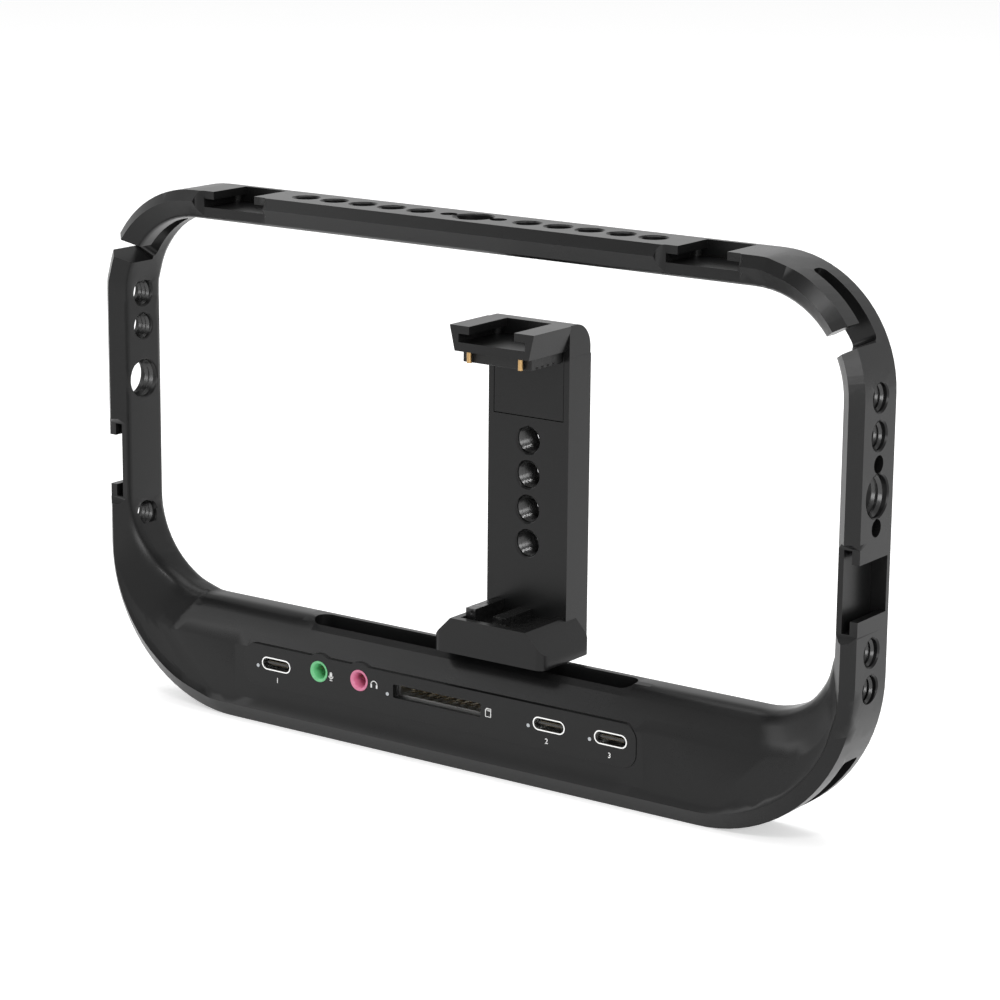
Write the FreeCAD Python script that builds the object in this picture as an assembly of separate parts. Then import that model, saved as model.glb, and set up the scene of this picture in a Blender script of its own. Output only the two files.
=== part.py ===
import FreeCAD, Part
import math
import os

# Phone cage: a ring-shaped camera frame with a phone clamp and a port hub in its lower bar.
# Millimetres. X runs to the right, Y to the back, Z up. The origin is the middle of the flat
# that the lower bar stands on, and the plane y = 0 holds the axes of the ring's threaded holes.

V = FreeCAD.Vector

# Ring, overall
HALF_WIDTH = 107.0
HEIGHT = 130.4
BACK_Y = 6.8
BAND_FRONT_Y = -6.8
TOP_BAND_FRONT_Y = -7.3
RIDGE_Y = -9.3
PORT_FACE_Y = -7.8
SIDE_THICK = 5.8
TOP_THICK = 7.0
BAR_TOP_Z = 27.5
TOP_CORNER_R = 28.8
BOTTOM_CORNER_R = 38.8
WINDOW_R = 22.4
CORNER_STEPS = 8
EPS = 0.01

# Centres in x and z of the right-hand corner arcs
OUTER_TOP = (HALF_WIDTH - TOP_CORNER_R, HEIGHT - TOP_CORNER_R)
OUTER_LOW = (HALF_WIDTH - BOTTOM_CORNER_R, BOTTOM_CORNER_R)
WINDOW_TOP = (HALF_WIDTH - SIDE_THICK - WINDOW_R, HEIGHT - TOP_THICK - WINDOW_R)
WINDOW_LOW = (HALF_WIDTH - SIDE_THICK - WINDOW_R, BAR_TOP_Z + WINDOW_R)

# The ring's cross-section, from the back edge round the front to the window's back edge.
# Each row: (in from the side, y), (down from the top, y), (z, y) in the lower bar, and the
# centres of the top and the bottom corner.
RING_SECTION = [
    ((0, BACK_Y), (0, BACK_Y), (0, BACK_Y), OUTER_TOP, OUTER_LOW),
    ((0, BAND_FRONT_Y), (0, TOP_BAND_FRONT_Y), (0, BAND_FRONT_Y), OUTER_TOP, OUTER_LOW),
    ((2.6, RIDGE_Y), (2.45, RIDGE_Y), (4.0, RIDGE_Y), OUTER_TOP, OUTER_LOW),
    ((2.8, -9.1), (2.7, -9.12), (6.0, PORT_FACE_Y), OUTER_TOP, (70.0, 39.0)),
    ((3.2, -8.7), (3.2, -8.76), (19.2, PORT_FACE_Y), (78.3, 101.5), (84.3, 38.6)),
    ((4.3, -7.6), (4.6, -7.74), (22.4, -5.1), (78.5, 101.3), (82.6, 41.5)),
    ((5.3, -6.6), (6.2, -6.58), (25.0, -2.85), (78.7, 101.1), (81.0, 45.5)),
    ((5.7, -5.9), (6.85, -5.9), (26.5, -1.2), (78.75, 101.0), (79.8, 48.3)),
    ((5.8, -4.9), (7.0, -4.9), (27.3, 0.6), WINDOW_TOP, (79.0, 49.7)),
    ((SIDE_THICK, -3.0), (TOP_THICK, -3.4), (BAR_TOP_Z, 2.2), WINDOW_TOP, WINDOW_LOW),
    ((SIDE_THICK, 5.2), (TOP_THICK, 5.2), (BAR_TOP_Z, 5.4), WINDOW_TOP, WINDOW_LOW),
    ((5.5, 6.2), (6.6, 6.2), (27.2, 6.3), WINDOW_TOP, WINDOW_LOW),
    ((4.9, BACK_Y), (6.0, BACK_Y), (26.7, BACK_Y), WINDOW_TOP, WINDOW_LOW),
]

# Threaded and pin holes
QUARTER_R = 3.175
QUARTER_MOUTH_R = 3.55
THREE_EIGHTHS_R = 4.7625
THREE_EIGHTHS_MOUTH_R = 5.1
PIN_HOLE_R = 2.0
PIN_HOLE_DEPTH = 3.4
PIN_HOLE_TIP = 0.9
TOP_QUARTER_X = [15.0, 23.5, 32.0, 40.5, 49.0]
PIN_OFFSET = 7.0
SIDE_THREE_EIGHTHS_Z = 80.3
SIDE_QUARTER_Z = [101.9, 93.5, 45.5, 37.1]

# Cold shoes
SHOE_THROAT = 12.6
SHOE_UNDERCUT = 18.6
SHOE_DEPTH = 3.9
SHOE_LIP = 1.9
SHOE_STOP_Y = 5.5
SHOE_CORNER_R = 1.6
SHOE_FLAT_HALF_WIDTH = 10.9
SHOE_FLAT_DEPTH = 12.0
SHOE_FLAT_CHAMFER = 1.4
TOP_SHOE_X = 65.8
SIDE_SHOE_Z = 60.0

# Strap slots
STRAP_SLOT_Y = [-1.9, 2.4]
STRAP_GAP_ANGLE = 28.8
STRAP_GAP_WIDTH = 5.0
STRAP_SLOT_TOP_ANGLE = 65.5
STRAP_SLOT_LOW_ANGLE = 24.5
STRAP_SLOT_INNER_R = 15.0
STRAP_SLOT_END_R = 1.6
POCKET_TOP_ANGLE = 29.0
POCKET_LOW_ANGLE = 58.0
POCKET_Y = [-1.8, 4.6]
POCKET_BAR = 2.6
POCKET_DEPTH = 6.4
POCKET_END_R = 1.2

# Channel in the lower bar for the sliding clamp
SLOT_CENTRE_X = -0.7
SLOT_HALF_LENGTH = 46.65
SLOT_Y = 1.3
SLOT_WIDTH = 5.5
CHANNEL_HALF_LENGTH = 53.0
CHANNEL_Y = [-2.6, 5.2]
CHANNEL_Z = [20.4, 23.6]

# Hub cavity in the lower bar
CAVITY_HALF_LENGTH = 65.5
CAVITY_Y = [-5.8, 5.3]
CAVITY_Z = [4.0, 18.9]
ROOF_Y = [-4.3, 5.3]
MOUTH_Y = [-5.0, 4.7]
COVER_HALF_LENGTH = 71.0
COVER_Y = [-5.8, 5.8]
COVER_Z = [0.0, 1.7]
DIVIDER_THICK = 0.6
POST_HALF_WIDTH = 2.2
POST_INNER_Y = [-2.6, 2.4]
POST_TOP_Z = 11.5

# Screws: (head radius, head height, shank radius)
DIVIDER_SCREW = (1.5, 0.7, 0.8)
BOARD_SCREW = (1.7, 0.9, 0.8)
COVER_SCREW = (1.85, 0.9, 0.95)
BASE_SCREW = (2.75, 3.0, 1.5)
COVER_SCREW_XY = [(-68.2, -2.9), (-68.2, 2.9), (68.2, -2.9), (68.2, 2.9), (0.0, 3.8), (0.0, -3.9)]
BOARD_SCREW_XY = [(-62.4, -2.8), (-62.4, 2.4), (60.4, -2.8), (60.4, 2.4)]
DIVIDER_SCREW_XY = [(-55.6, -2.4), (-55.6, 3.4), (55.6, -2.4), (55.6, 3.4)]
COVER_SCREW_TIP_Z = 9.0
BOARD_SCREW_TIP_Z = 17.6
DIVIDER_SCREW_TIP_Z = 22.6
TIP_ROOM = 0.4

# Port panel
PANEL_X = [-62.9, 52.1]
PANEL_Z = [10.0, 20.4]
PANEL_CORNER_R = 3.6
PANEL_FRONT_Y = -8.0
PANEL_BACK_Y = -6.6
LOBE_R = 4.4
PANEL_GAP = 0.05

# Ports
USB_X = [-52.8, 28.15, 45.2]
USB_Z = 16.0
USB_WIDTH = 8.94
USB_HEIGHT = 3.26
USB_DEPTH = 7.4
USB_WALL = 0.3
USB_BACK_WALL = 0.8
TONGUE_HALF_WIDTH = 3.35
TONGUE_HALF_THICK = 0.35
TONGUE_SETBACK = 0.9
TONGUE_BASE = (3.6, 1.6, 0.9)
JACK_X = [-39.4, -27.1]
JACK_Z = 16.8
JACK_NOSE_R = 2.6
JACK_BORE_R = 1.78
JACK_LEAD = 0.7
JACK_HALF_WIDTH = 3.2
JACK_HUMP_HALF_WIDTH = 3.0
JACK_BODY_TOP_Z = 18.8
JACK_HUMP_TOP_Z = 19.6
JACK_BORE_END_Y = 3.8
JACK_LEAF_Y = [-2.6, 1.2]
JACK_LEAF_HALF_LENGTH = 1.2
JACK_LEAF_HALF_HEIGHT = 0.5
JACK_LEAF_REACH = [0.35, 0.5]
SOCKET_BACK_Y = 4.6
SD_X = [-16.9, 8.8]
SD_Z = [14.4, 17.7]
SD_WALL = 1.0
SD_TOP_Z = 18.2
SD_CONTACT_PITCH = 2.5
SD_CONTACT_COUNT = 9
SD_STRIP = [(-4.4, 15.25), (-4.2, 15.45), (0.8, 15.1), (0.8, 14.9)]
LIGHT_X = [-58.5, -18.6, 22.4, 39.5]
LIGHT_Z = 15.0
LIGHT_R = 0.45
LIGHT_BACK_Y = -5.2

# Hub board
BOARD_X = [-64.0, 62.0]
BOARD_Y = [-5.0, 4.6]
BOARD_TOP_Z = 14.3
BOARD_THICK = 1.2
SHELF_X = [-60.5, 58.5]
BOARD_HOLE_R = 1.1
# Packages under the board: x, y, width, depth, height
CHIPS = [
    (-30.0, 0.0, 7.0, 7.0, 1.0), (-44.0, 0.2, 5.0, 5.0, 0.9), (14.0, 0.0, 6.0, 6.0, 0.9),
    (31.0, 0.0, 5.0, 5.0, 0.9), (44.0, 0.4, 7.0, 6.4, 3.0), (-55.0, 0.0, 4.0, 3.0, 1.2),
    (24.0, -1.8, 3.2, 1.6, 1.0), (37.0, 1.8, 3.2, 1.6, 1.0), (-12.0, 1.6, 3.0, 3.0, 1.1)]
CAN_X = [-35.5, -24.5]
CAN_Y = [-4.4, 4.2]
CAN_HEIGHT = 2.2
CAN_WALL = 0.3
THERMAL_X = [-34.5, -25.5]
THERMAL_Y = [-3.8, 3.6]

# Phone clamp
CLAMP_X = 9.4
BODY_HALF_WIDTH = 11.4
BODY_Y = [9.3, 18.2]
BODY_TOP_Z = 98.5
JAW_HALF_WIDTH = 15.8
JAW_FRONT_Y = -6.5
JAW_BACK_Y = 13.4
JAW_BOTTOM_Z = 27.9
JAW_WALL_TOP_Z = 31.3
JAW_SHOULDER_HALF_WIDTH = 10.7
JAW_TOP_Z = 36.4
LOWER_PAD_Y = [-4.6, 8.9]
LOWER_PAD_HALF_WIDTH = 9.0
LOWER_PAD_BED_Z = 33.4
LOWER_PAD_TOP_Z = 35.5
PAD_GAP = 0.05
# Raised blocks of the lower pad: x range from the clamp's middle, front y, top z
PAD_BLOCKS = [((-8.9, -6.2), -2.6, 38.4), ((-1.8, 1.8), -1.6, 37.2)]
JAW_EDGE_R = 2.2
BASE_SCREW_OFFSET = 4.0
BASE_SCREW_SEAT_Z = 30.1
NUT_NECK_HALF_LENGTH = 6.6
NUT_FLANGE = (11.0, 3.5)
BODY_HOLE_Z = [77.7, 69.4, 61.1, 52.8]
ROD_OFFSET = 7.5
ROD_Y = 15.3
ROD_R = 1.0
ROD_BORE_R = 2.0
ROD_BORE_BOTTOM_Z = 32.0
ROD_TOP_Z = 103.5
BUSH_Z = [92.3, 98.3]
ROD_STOP_R = 1.85
ROD_STOP_Z = [34.0, 36.0]
SPRING_COILS = 22
SPRING_WIRE_R = 0.25
SPRING_R = 1.6
PLATE_HALF_WIDTH = 9.8
PLATE_DEPTH = 3.0
PLATE_BOTTOM_Z = 83.35
PLATE_TONGUE = (6.0, 9.9, 11.7, 101.6)
UPPER_JAW_FRONT_Y = -5.7
UPPER_JAW_BACK_Y = 17.9
UPPER_JAW_Z = [100.0, 106.0]
UPPER_JAW_TOP_HALF_WIDTH = 11.8
UPPER_JAW_LOW_HALF_WIDTH = 10.4
UPPER_JAW_BACK_R = 6.0
UPPER_PAD_Y = [-3.4, 8.9]
UPPER_PAD_HALF_WIDTH = 9.6
UPPER_PAD_Z = [97.2, 100.0]
PAD_GROOVE_Y = [-1.6, 0.6, 2.8, 5.0]
PAD_GROOVE = (0.8, 0.6)
PAD_PIN_R = 0.6
PAD_PIN_OFFSET = 7.2
PAD_PIN_Y = -4.3
PAD_PIN_TOP_Z = 101.4
JAW_SHOE_STOP_Y = 9.3
RUN_GAP = 0.03


def box(x0, x1, y0, y1, z0, z1):
    return Part.makeBox(x1 - x0, y1 - y0, z1 - z0, V(x0, y0, z0))


def tube_y(x, z, r, y0, y1):
    return Part.makeCylinder(r, y1 - y0, V(x, y0, z), V(0, 1, 0))


def tube_z(x, y, r, z0, z1):
    return Part.makeCylinder(r, z1 - z0, V(x, y, z0), V(0, 0, 1))


def fuse(shapes):
    result = shapes[0]
    for shape in shapes[1:]:
        result = result.fuse(shape)
    return result.removeSplitter()


def prism_y(points, y0, y1):
    """Closed polygon of (x, z) points, drawn from y0 to y1."""
    wire = Part.makePolygon([V(x, y0, z) for x, z in points + points[:1]])
    return Part.Face(wire).extrude(V(0, y1 - y0, 0))


def prism_x(points, x0, x1):
    """Closed polygon of (y, z) points, drawn from x0 to x1."""
    wire = Part.makePolygon([V(x0, y, z) for y, z in points + points[:1]])
    return Part.Face(wire).extrude(V(x1 - x0, 0, 0))


def rounded_plate_y(x0, x1, z0, z1, r, y0, y1):
    """Rectangle in x and z with rounded corners, drawn from y0 to y1."""
    plate = box(x0, x1, y0, y1, z0, z1)
    corners = [e for e in plate.Edges if abs(e.Vertexes[0].Y - e.Vertexes[1].Y) > (y1 - y0) / 2]
    return plate.makeFillet(r, corners)


def corner_edge(centre, radii, y_pair, start_deg, mirror):
    """A quarter turn round a corner in x and z, along which y eases from one value to the next."""
    points = []
    for i in range(CORNER_STEPS + 1):
        share = i / CORNER_STEPS
        angle = math.radians(start_deg + 90.0 * share)
        ease = share * share * (3.0 - 2.0 * share)
        y = y_pair[0] + (y_pair[1] - y_pair[0]) * ease
        points.append(V(mirror * (centre[0] + radii[0] * math.cos(angle)), y,
                        centre[1] + radii[1] * math.sin(angle)))
    if mirror < 0:
        points.reverse()
    if abs(y_pair[0] - y_pair[1]) < EPS and abs(radii[0] - radii[1]) < EPS:
        return Part.Arc(points[0], points[CORNER_STEPS // 2], points[-1]).toShape()
    along_x = V(-1 if start_deg == 0 else 1, 0, 0)
    along_z = V(0, 0, mirror)
    starts_upright = (start_deg == 0) == (mirror > 0)
    start, end = (along_z, along_x) if starts_upright else (along_x, along_z)
    reach = math.pi / 2.0 * (radii[0] + radii[1]) / 2.0
    spline = Part.BSplineCurve()
    spline.interpolate(
        Points=points, Parameters=[i / CORNER_STEPS for i in range(CORNER_STEPS + 1)],
        InitialTangent=start * reach, FinalTangent=end * reach)
    return spline.toShape()


def line_between(edge, next_edge):
    return Part.makeLine(edge.valueAt(edge.LastParameter), next_edge.valueAt(next_edge.FirstParameter))


def ring_curve(side, top, bottom, top_centre, bottom_centre):
    """One closed curve round the ring, as eight edges."""
    side_x = HALF_WIDTH - side[0]
    top_z = HEIGHT - top[0]
    top_radii = (side_x - top_centre[0], top_z - top_centre[1])
    low_radii = (side_x - bottom_centre[0], bottom_centre[1] - bottom[0])
    corners = [
        corner_edge(bottom_centre, low_radii, (bottom[1], side[1]), -90, 1),
        corner_edge(top_centre, top_radii, (side[1], top[1]), 0, 1),
        corner_edge(top_centre, top_radii, (side[1], top[1]), 0, -1),
        corner_edge(bottom_centre, low_radii, (bottom[1], side[1]), -90, -1),
    ]
    edges = []
    for edge, next_edge in zip(corners, corners[1:] + corners[:1]):
        edges += [edge, line_between(edge, next_edge)]
    return edges


def ring_blank():
    """The ring before any hole, as ruled faces between the curves of its cross-section."""
    curves = [ring_curve(*row) for row in RING_SECTION]
    faces = []
    for near, far in zip(curves, curves[1:]):
        for a, b in zip(near, far):
            faces.append(Part.makeRuledSurface(a, b))
    outer = Part.Wire(curves[0])
    inner = Part.Wire(curves[-1])
    back = Part.makeFace([outer, inner], "Part::FaceMakerBullseye")
    shell = Part.makeShell(faces + [back])
    shell.sewShape()
    solid = Part.makeSolid(shell)
    if solid.Volume < 0:
        solid.reverse()
    return solid


def threaded_hole(axis_point, direction, r, mouth_r, length):
    """A hole with a small mouth chamfer at both ends; the point is at its first mouth."""
    lead = mouth_r - r
    hole = Part.makeCylinder(r, length + 2, axis_point - direction, direction)
    near = Part.makeCone(mouth_r + 0.3, r, lead + 0.3, axis_point - direction * 0.3, direction)
    far_point = axis_point + direction * (length + 0.3)
    far = Part.makeCone(mouth_r + 0.3, r, lead + 0.3, far_point, direction * -1)
    return [hole, near, far]


def pin_hole(axis_point, direction):
    hole = Part.makeCylinder(PIN_HOLE_R, PIN_HOLE_DEPTH + 1, axis_point - direction, direction)
    tip_point = axis_point + direction * PIN_HOLE_DEPTH
    tip = Part.makeCone(PIN_HOLE_R, 0.0, PIN_HOLE_TIP, tip_point, direction)
    return [hole, tip]


def top_holes():
    down = V(0, 0, -1)
    cuts = threaded_hole(V(0, 0, HEIGHT), down, THREE_EIGHTHS_R, THREE_EIGHTHS_MOUTH_R, TOP_THICK)
    for side in (-1, 1):
        cuts += pin_hole(V(side * PIN_OFFSET, 0, HEIGHT), down)
        for x in TOP_QUARTER_X:
            cuts += threaded_hole(V(side * x, 0, HEIGHT), down, QUARTER_R, QUARTER_MOUTH_R, TOP_THICK)
    return cuts


def side_holes():
    cuts = []
    for side in (-1, 1):
        inward = V(-side, 0, 0)
        x = side * HALF_WIDTH
        cuts += threaded_hole(
            V(x, 0, SIDE_THREE_EIGHTHS_Z), inward, THREE_EIGHTHS_R, THREE_EIGHTHS_MOUTH_R, SIDE_THICK)
        for z in (SIDE_THREE_EIGHTHS_Z - PIN_OFFSET, SIDE_THREE_EIGHTHS_Z + PIN_OFFSET):
            cuts += pin_hole(V(x, 0, z), inward)
        for z in SIDE_QUARTER_Z:
            cuts += threaded_hole(V(x, 0, z), inward, QUARTER_R, QUARTER_MOUTH_R, SIDE_THICK)
    return cuts


def shoe_cut(y_front, y_stop):
    """Cold shoe opening with its throat upwards at z = 0, centred on x = 0, open to the front."""
    throat = box(-SHOE_THROAT / 2, SHOE_THROAT / 2, y_front, y_stop, -SHOE_DEPTH, 2.0)
    under = box(-SHOE_UNDERCUT / 2, SHOE_UNDERCUT / 2, y_front, y_stop, -SHOE_DEPTH, -SHOE_LIP)
    back_edges = [e for e in under.Edges
                  if abs(e.Vertexes[0].Z - e.Vertexes[1].Z) > 1.0 and e.Vertexes[0].Y > y_stop - EPS]
    under = under.makeFillet(SHOE_CORNER_R, back_edges)
    return throat.fuse(under)


def ring_shoes():
    """The four shoe openings, and the flats milled across the ridge in front of them."""
    cuts = []
    front = RIDGE_Y - 2.0
    for side in (-1, 1):
        shoe = shoe_cut(front, SHOE_STOP_Y)
        shoe.translate(V(side * TOP_SHOE_X, 0, HEIGHT))
        cuts.append(shoe)
        shoe = shoe_cut(front, SHOE_STOP_Y)
        shoe.rotate(V(0, 0, 0), V(0, 1, 0), side * 90)
        shoe.translate(V(side * HALF_WIDTH, 0, SIDE_SHOE_Z))
        cuts.append(shoe)
        flat = box(-SHOE_FLAT_HALF_WIDTH, SHOE_FLAT_HALF_WIDTH, front, BAND_FRONT_Y + 0.1,
                   -SHOE_FLAT_DEPTH, 2.0)
        ends = [e for e in flat.Edges
                if abs(e.Vertexes[0].Z - e.Vertexes[1].Z) > 1.0 and e.Vertexes[0].Y > front + 1.0]
        flat = flat.makeChamfer(SHOE_FLAT_CHAMFER, ends)
        side_flat = flat.copy()
        side_flat.rotate(V(0, 0, 0), V(0, 1, 0), side * 90)
        side_flat.translate(V(side * HALF_WIDTH, 0, SIDE_SHOE_Z))
        cuts.append(side_flat)
        flat.translate(V(side * TOP_SHOE_X, 0, HEIGHT))
        cuts.append(flat)
    return cuts


def arc_slab(centre, r0, r1, from_deg, to_deg, y0, y1, end_r):
    """A slab between two radii and two angles in x and z, with its end corners rounded."""
    points = []
    for r, degs in ((r0, (from_deg, (from_deg + to_deg) / 2, to_deg)),
                    (r1, (to_deg, (from_deg + to_deg) / 2, from_deg))):
        points.append([V(centre[0] + r * math.cos(math.radians(d)), y0,
                         centre[1] + r * math.sin(math.radians(d))) for d in degs])
    inner, outer = points
    wire = Part.Wire([
        Part.Arc(*inner).toShape(), Part.makeLine(inner[2], outer[0]),
        Part.Arc(*outer).toShape(), Part.makeLine(outer[2], inner[0])])
    slab = Part.Face(wire).extrude(V(0, y1 - y0, 0))
    ends = [e for e in slab.Edges if e.Curve.TypeId == "Part::GeomLine"
            and abs(e.Vertexes[0].Y - e.Vertexes[1].Y) < EPS]
    return slab.makeFillet(end_r, ends)


def strap_cuts():
    """Hook slots through the upper corners, and pockets behind a bar in the lower corners."""
    cuts = []
    slot = arc_slab(OUTER_TOP, STRAP_SLOT_INNER_R, TOP_CORNER_R + 4.0, STRAP_SLOT_LOW_ANGLE,
                    STRAP_SLOT_TOP_ANGLE, STRAP_SLOT_Y[0], STRAP_SLOT_Y[1], STRAP_SLOT_END_R)
    gap = box(STRAP_SLOT_INNER_R - 3.0, TOP_CORNER_R + 5.0, RIDGE_Y - 2, STRAP_SLOT_Y[1] - 1.0,
              -STRAP_GAP_WIDTH / 2, STRAP_GAP_WIDTH / 2)
    gap.rotate(V(0, 0, 0), V(0, 1, 0), -STRAP_GAP_ANGLE)
    gap.translate(V(OUTER_TOP[0], 0, OUTER_TOP[1]))
    mouth = arc_slab(OUTER_LOW, BOTTOM_CORNER_R - POCKET_DEPTH, BOTTOM_CORNER_R + 3.0,
                     -POCKET_LOW_ANGLE, -POCKET_TOP_ANGLE, POCKET_Y[0], POCKET_Y[1], POCKET_END_R)
    exit_cut = arc_slab(OUTER_LOW, BOTTOM_CORNER_R - POCKET_DEPTH, BOTTOM_CORNER_R - POCKET_BAR,
                        -POCKET_LOW_ANGLE, -POCKET_TOP_ANGLE, POCKET_Y[0] + 1.4, BACK_Y + 2,
                        POCKET_END_R)
    for cut in (slot, gap, mouth, exit_cut):
        cuts.append(cut)
        cuts.append(cut.mirror(V(0, 0, 0), V(1, 0, 0)))
    return cuts


def slot_shape(half_length, width, z0, z1):
    r = width / 2
    straight = box(-half_length + r, half_length - r, -r, r, z0, z1)
    ends = [tube_z(s * (half_length - r), 0, r, z0, z1) for s in (-1, 1)]
    return fuse([straight] + ends)


def channel_cuts():
    """The slot in the bar's top, the nut channel under it and the seat of its divider."""
    slot = slot_shape(SLOT_HALF_LENGTH, SLOT_WIDTH, CHANNEL_Z[1] - 1, BAR_TOP_Z + 2)
    slot.translate(V(SLOT_CENTRE_X, SLOT_Y, 0))
    channel = box(-CHANNEL_HALF_LENGTH, CHANNEL_HALF_LENGTH, CHANNEL_Y[0], CHANNEL_Y[1],
                  CHANNEL_Z[0] - 1, CHANNEL_Z[1])
    return [slot, channel]


def cavity_cuts():
    """The hub's chamber, its mouth, the seat of the bottom cover and the divider's seat."""
    low, high = CAVITY_Z
    chamber = box(-CAVITY_HALF_LENGTH, CAVITY_HALF_LENGTH, CAVITY_Y[0], CAVITY_Y[1],
                  low, BOARD_TOP_Z)
    upper = box(SHELF_X[0], SHELF_X[1], CAVITY_Y[0], CAVITY_Y[1], low, high)
    mouth = box(-CAVITY_HALF_LENGTH, CAVITY_HALF_LENGTH, MOUTH_Y[0], MOUTH_Y[1],
                COVER_Z[1] - 1, low + 1)
    cover = box(-COVER_HALF_LENGTH, COVER_HALF_LENGTH, COVER_Y[0], COVER_Y[1], -1, COVER_Z[1])
    roof = box(SHELF_X[0], SHELF_X[1], ROOF_Y[0], ROOF_Y[1], high - 1, CHANNEL_Z[0])
    return [chamber, upper, mouth, cover, roof]


def pilasters():
    """Two posts at the middle of the chamber that take the cover's middle screws."""
    half = POST_HALF_WIDTH
    rear = box(-half, half, POST_INNER_Y[1], CAVITY_Y[1] + 0.5, COVER_Z[1], POST_TOP_Z)
    front = box(-half, half, CAVITY_Y[0] - 0.5, POST_INNER_Y[0], COVER_Z[1], POST_TOP_Z)
    return [rear, front]


def port_openings(grow, y0, y1):
    """Openings for the sockets, each larger than its socket by grow all round."""
    cuts = []
    for x in USB_X:
        half_w = USB_WIDTH / 2 + grow
        half_h = USB_HEIGHT / 2 + grow
        cuts.append(rounded_plate_y(x - half_w, x + half_w, USB_Z - half_h, USB_Z + half_h,
                                    half_h - EPS, y0, y1))
    for x in JACK_X:
        cuts.append(tube_y(x, JACK_Z, JACK_NOSE_R + grow, y0, y1))
    cuts.append(rounded_plate_y(SD_X[0], SD_X[1], SD_Z[0], SD_Z[1], 0.4, y0, y1))
    for x in LIGHT_X:
        cuts.append(tube_y(x, LIGHT_Z, LIGHT_R + grow, y0, y1))
    return cuts


def panel_outline(grow, y0, y1):
    plate = rounded_plate_y(PANEL_X[0] - grow, PANEL_X[1] + grow, PANEL_Z[0] - grow,
                            PANEL_Z[1] + grow, PANEL_CORNER_R + grow, y0, y1)
    lobes = [tube_y(x, JACK_Z, LOBE_R + grow, y0, y1) for x in JACK_X]
    return fuse([plate] + lobes)


def cage_frame():
    ring = ring_blank()
    cuts = top_holes() + side_holes() + ring_shoes() + strap_cuts() + channel_cuts()
    cuts += cavity_cuts()
    cuts.append(panel_outline(PANEL_GAP, PORT_FACE_Y - 2, PANEL_BACK_Y))
    cuts += port_openings(0.08, PANEL_BACK_Y - 1, CAVITY_Y[0] + 1)
    ring = ring.cut(cuts)
    ring = fuse([ring] + pilasters())
    bores = screw_bores(COVER_SCREW_XY, COVER_SCREW, COVER_Z[1] - 1, COVER_SCREW_TIP_Z)
    bores += screw_bores(BOARD_SCREW_XY, BOARD_SCREW, BOARD_TOP_Z - 1, BOARD_SCREW_TIP_Z)
    bores += screw_bores(DIVIDER_SCREW_XY, DIVIDER_SCREW, CHANNEL_Z[0] - 0.5, DIVIDER_SCREW_TIP_Z)
    return ring.cut(bores)


def screw_bores(places, screw_size, low, tip_z):
    return [tube_z(x, y, screw_size[2], low, tip_z + TIP_ROOM) for x, y in places]


def port_panel():
    panel = panel_outline(0.0, PANEL_FRONT_Y, PANEL_BACK_Y)
    return panel.cut(port_openings(0.04, PANEL_FRONT_Y - 1, PANEL_BACK_Y + 1))


def usb_socket(x):
    half_w = USB_WIDTH / 2
    half_h = USB_HEIGHT / 2
    y0 = PANEL_FRONT_Y
    shell = rounded_plate_y(x - half_w, x + half_w, USB_Z - half_h, USB_Z + half_h,
                            half_h - EPS, y0, y0 + USB_DEPTH)
    inner_w = half_w - USB_WALL
    inner_h = half_h - USB_WALL
    hollow = rounded_plate_y(x - inner_w, x + inner_w, USB_Z - inner_h, USB_Z + inner_h,
                             inner_h - EPS, y0 - 1, y0 + USB_DEPTH - USB_BACK_WALL)
    return shell.cut(hollow)


def usb_tongue(x):
    back = PANEL_FRONT_Y + USB_DEPTH - USB_BACK_WALL
    front = PANEL_FRONT_Y + TONGUE_SETBACK
    tongue = box(x - TONGUE_HALF_WIDTH, x + TONGUE_HALF_WIDTH, front, back,
                 USB_Z - TONGUE_HALF_THICK, USB_Z + TONGUE_HALF_THICK)
    lead = [e for e in tongue.Edges if max(v.Y for v in e.Vertexes) < front + EPS
            and abs(e.Vertexes[0].X - e.Vertexes[1].X) > 1]
    tongue = tongue.makeChamfer(TONGUE_HALF_THICK * 0.6, lead)
    half_width, length, half_height = TONGUE_BASE
    base = box(x - half_width, x + half_width, back - length, back,
               USB_Z - half_height, USB_Z + half_height)
    return fuse([tongue, base])


def jack_leaves(x):
    """The leaf contacts of one jack, let into the wall of its bore."""
    near = JACK_BORE_R - JACK_LEAF_REACH[0]
    far = JACK_BORE_R + JACK_LEAF_REACH[1]
    leaves = []
    for side, y in zip((-1, 1), JACK_LEAF_Y):
        low, high = sorted((x + side * near, x + side * far))
        leaves.append(box(low, high, y - JACK_LEAF_HALF_LENGTH, y + JACK_LEAF_HALF_LENGTH,
                          JACK_Z - JACK_LEAF_HALF_HEIGHT, JACK_Z + JACK_LEAF_HALF_HEIGHT))
    return leaves


def audio_jack(x):
    """A 3.5 mm socket: a nose that fills the panel's hole and a square body behind it."""
    nose = tube_y(x, JACK_Z, JACK_NOSE_R, PANEL_FRONT_Y - 0.1, CAVITY_Y[0] + 0.2)
    body = box(x - JACK_HALF_WIDTH, x + JACK_HALF_WIDTH, CAVITY_Y[0] + 0.1, SOCKET_BACK_Y,
               BOARD_TOP_Z, JACK_BODY_TOP_Z)
    hump = box(x - JACK_HUMP_HALF_WIDTH, x + JACK_HUMP_HALF_WIDTH, ROOF_Y[0] + 0.1, SOCKET_BACK_Y,
               JACK_BODY_TOP_Z - 1, JACK_HUMP_TOP_Z)
    bore = tube_y(x, JACK_Z, JACK_BORE_R, PANEL_FRONT_Y - 1, JACK_BORE_END_Y)
    lead = Part.makeCone(JACK_BORE_R + JACK_LEAD, JACK_BORE_R, JACK_LEAD,
                         V(x, PANEL_FRONT_Y - 0.4, JACK_Z), V(0, 1, 0))
    return fuse([nose, body, hump]).cut([bore, lead] + jack_leaves(x))


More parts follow.
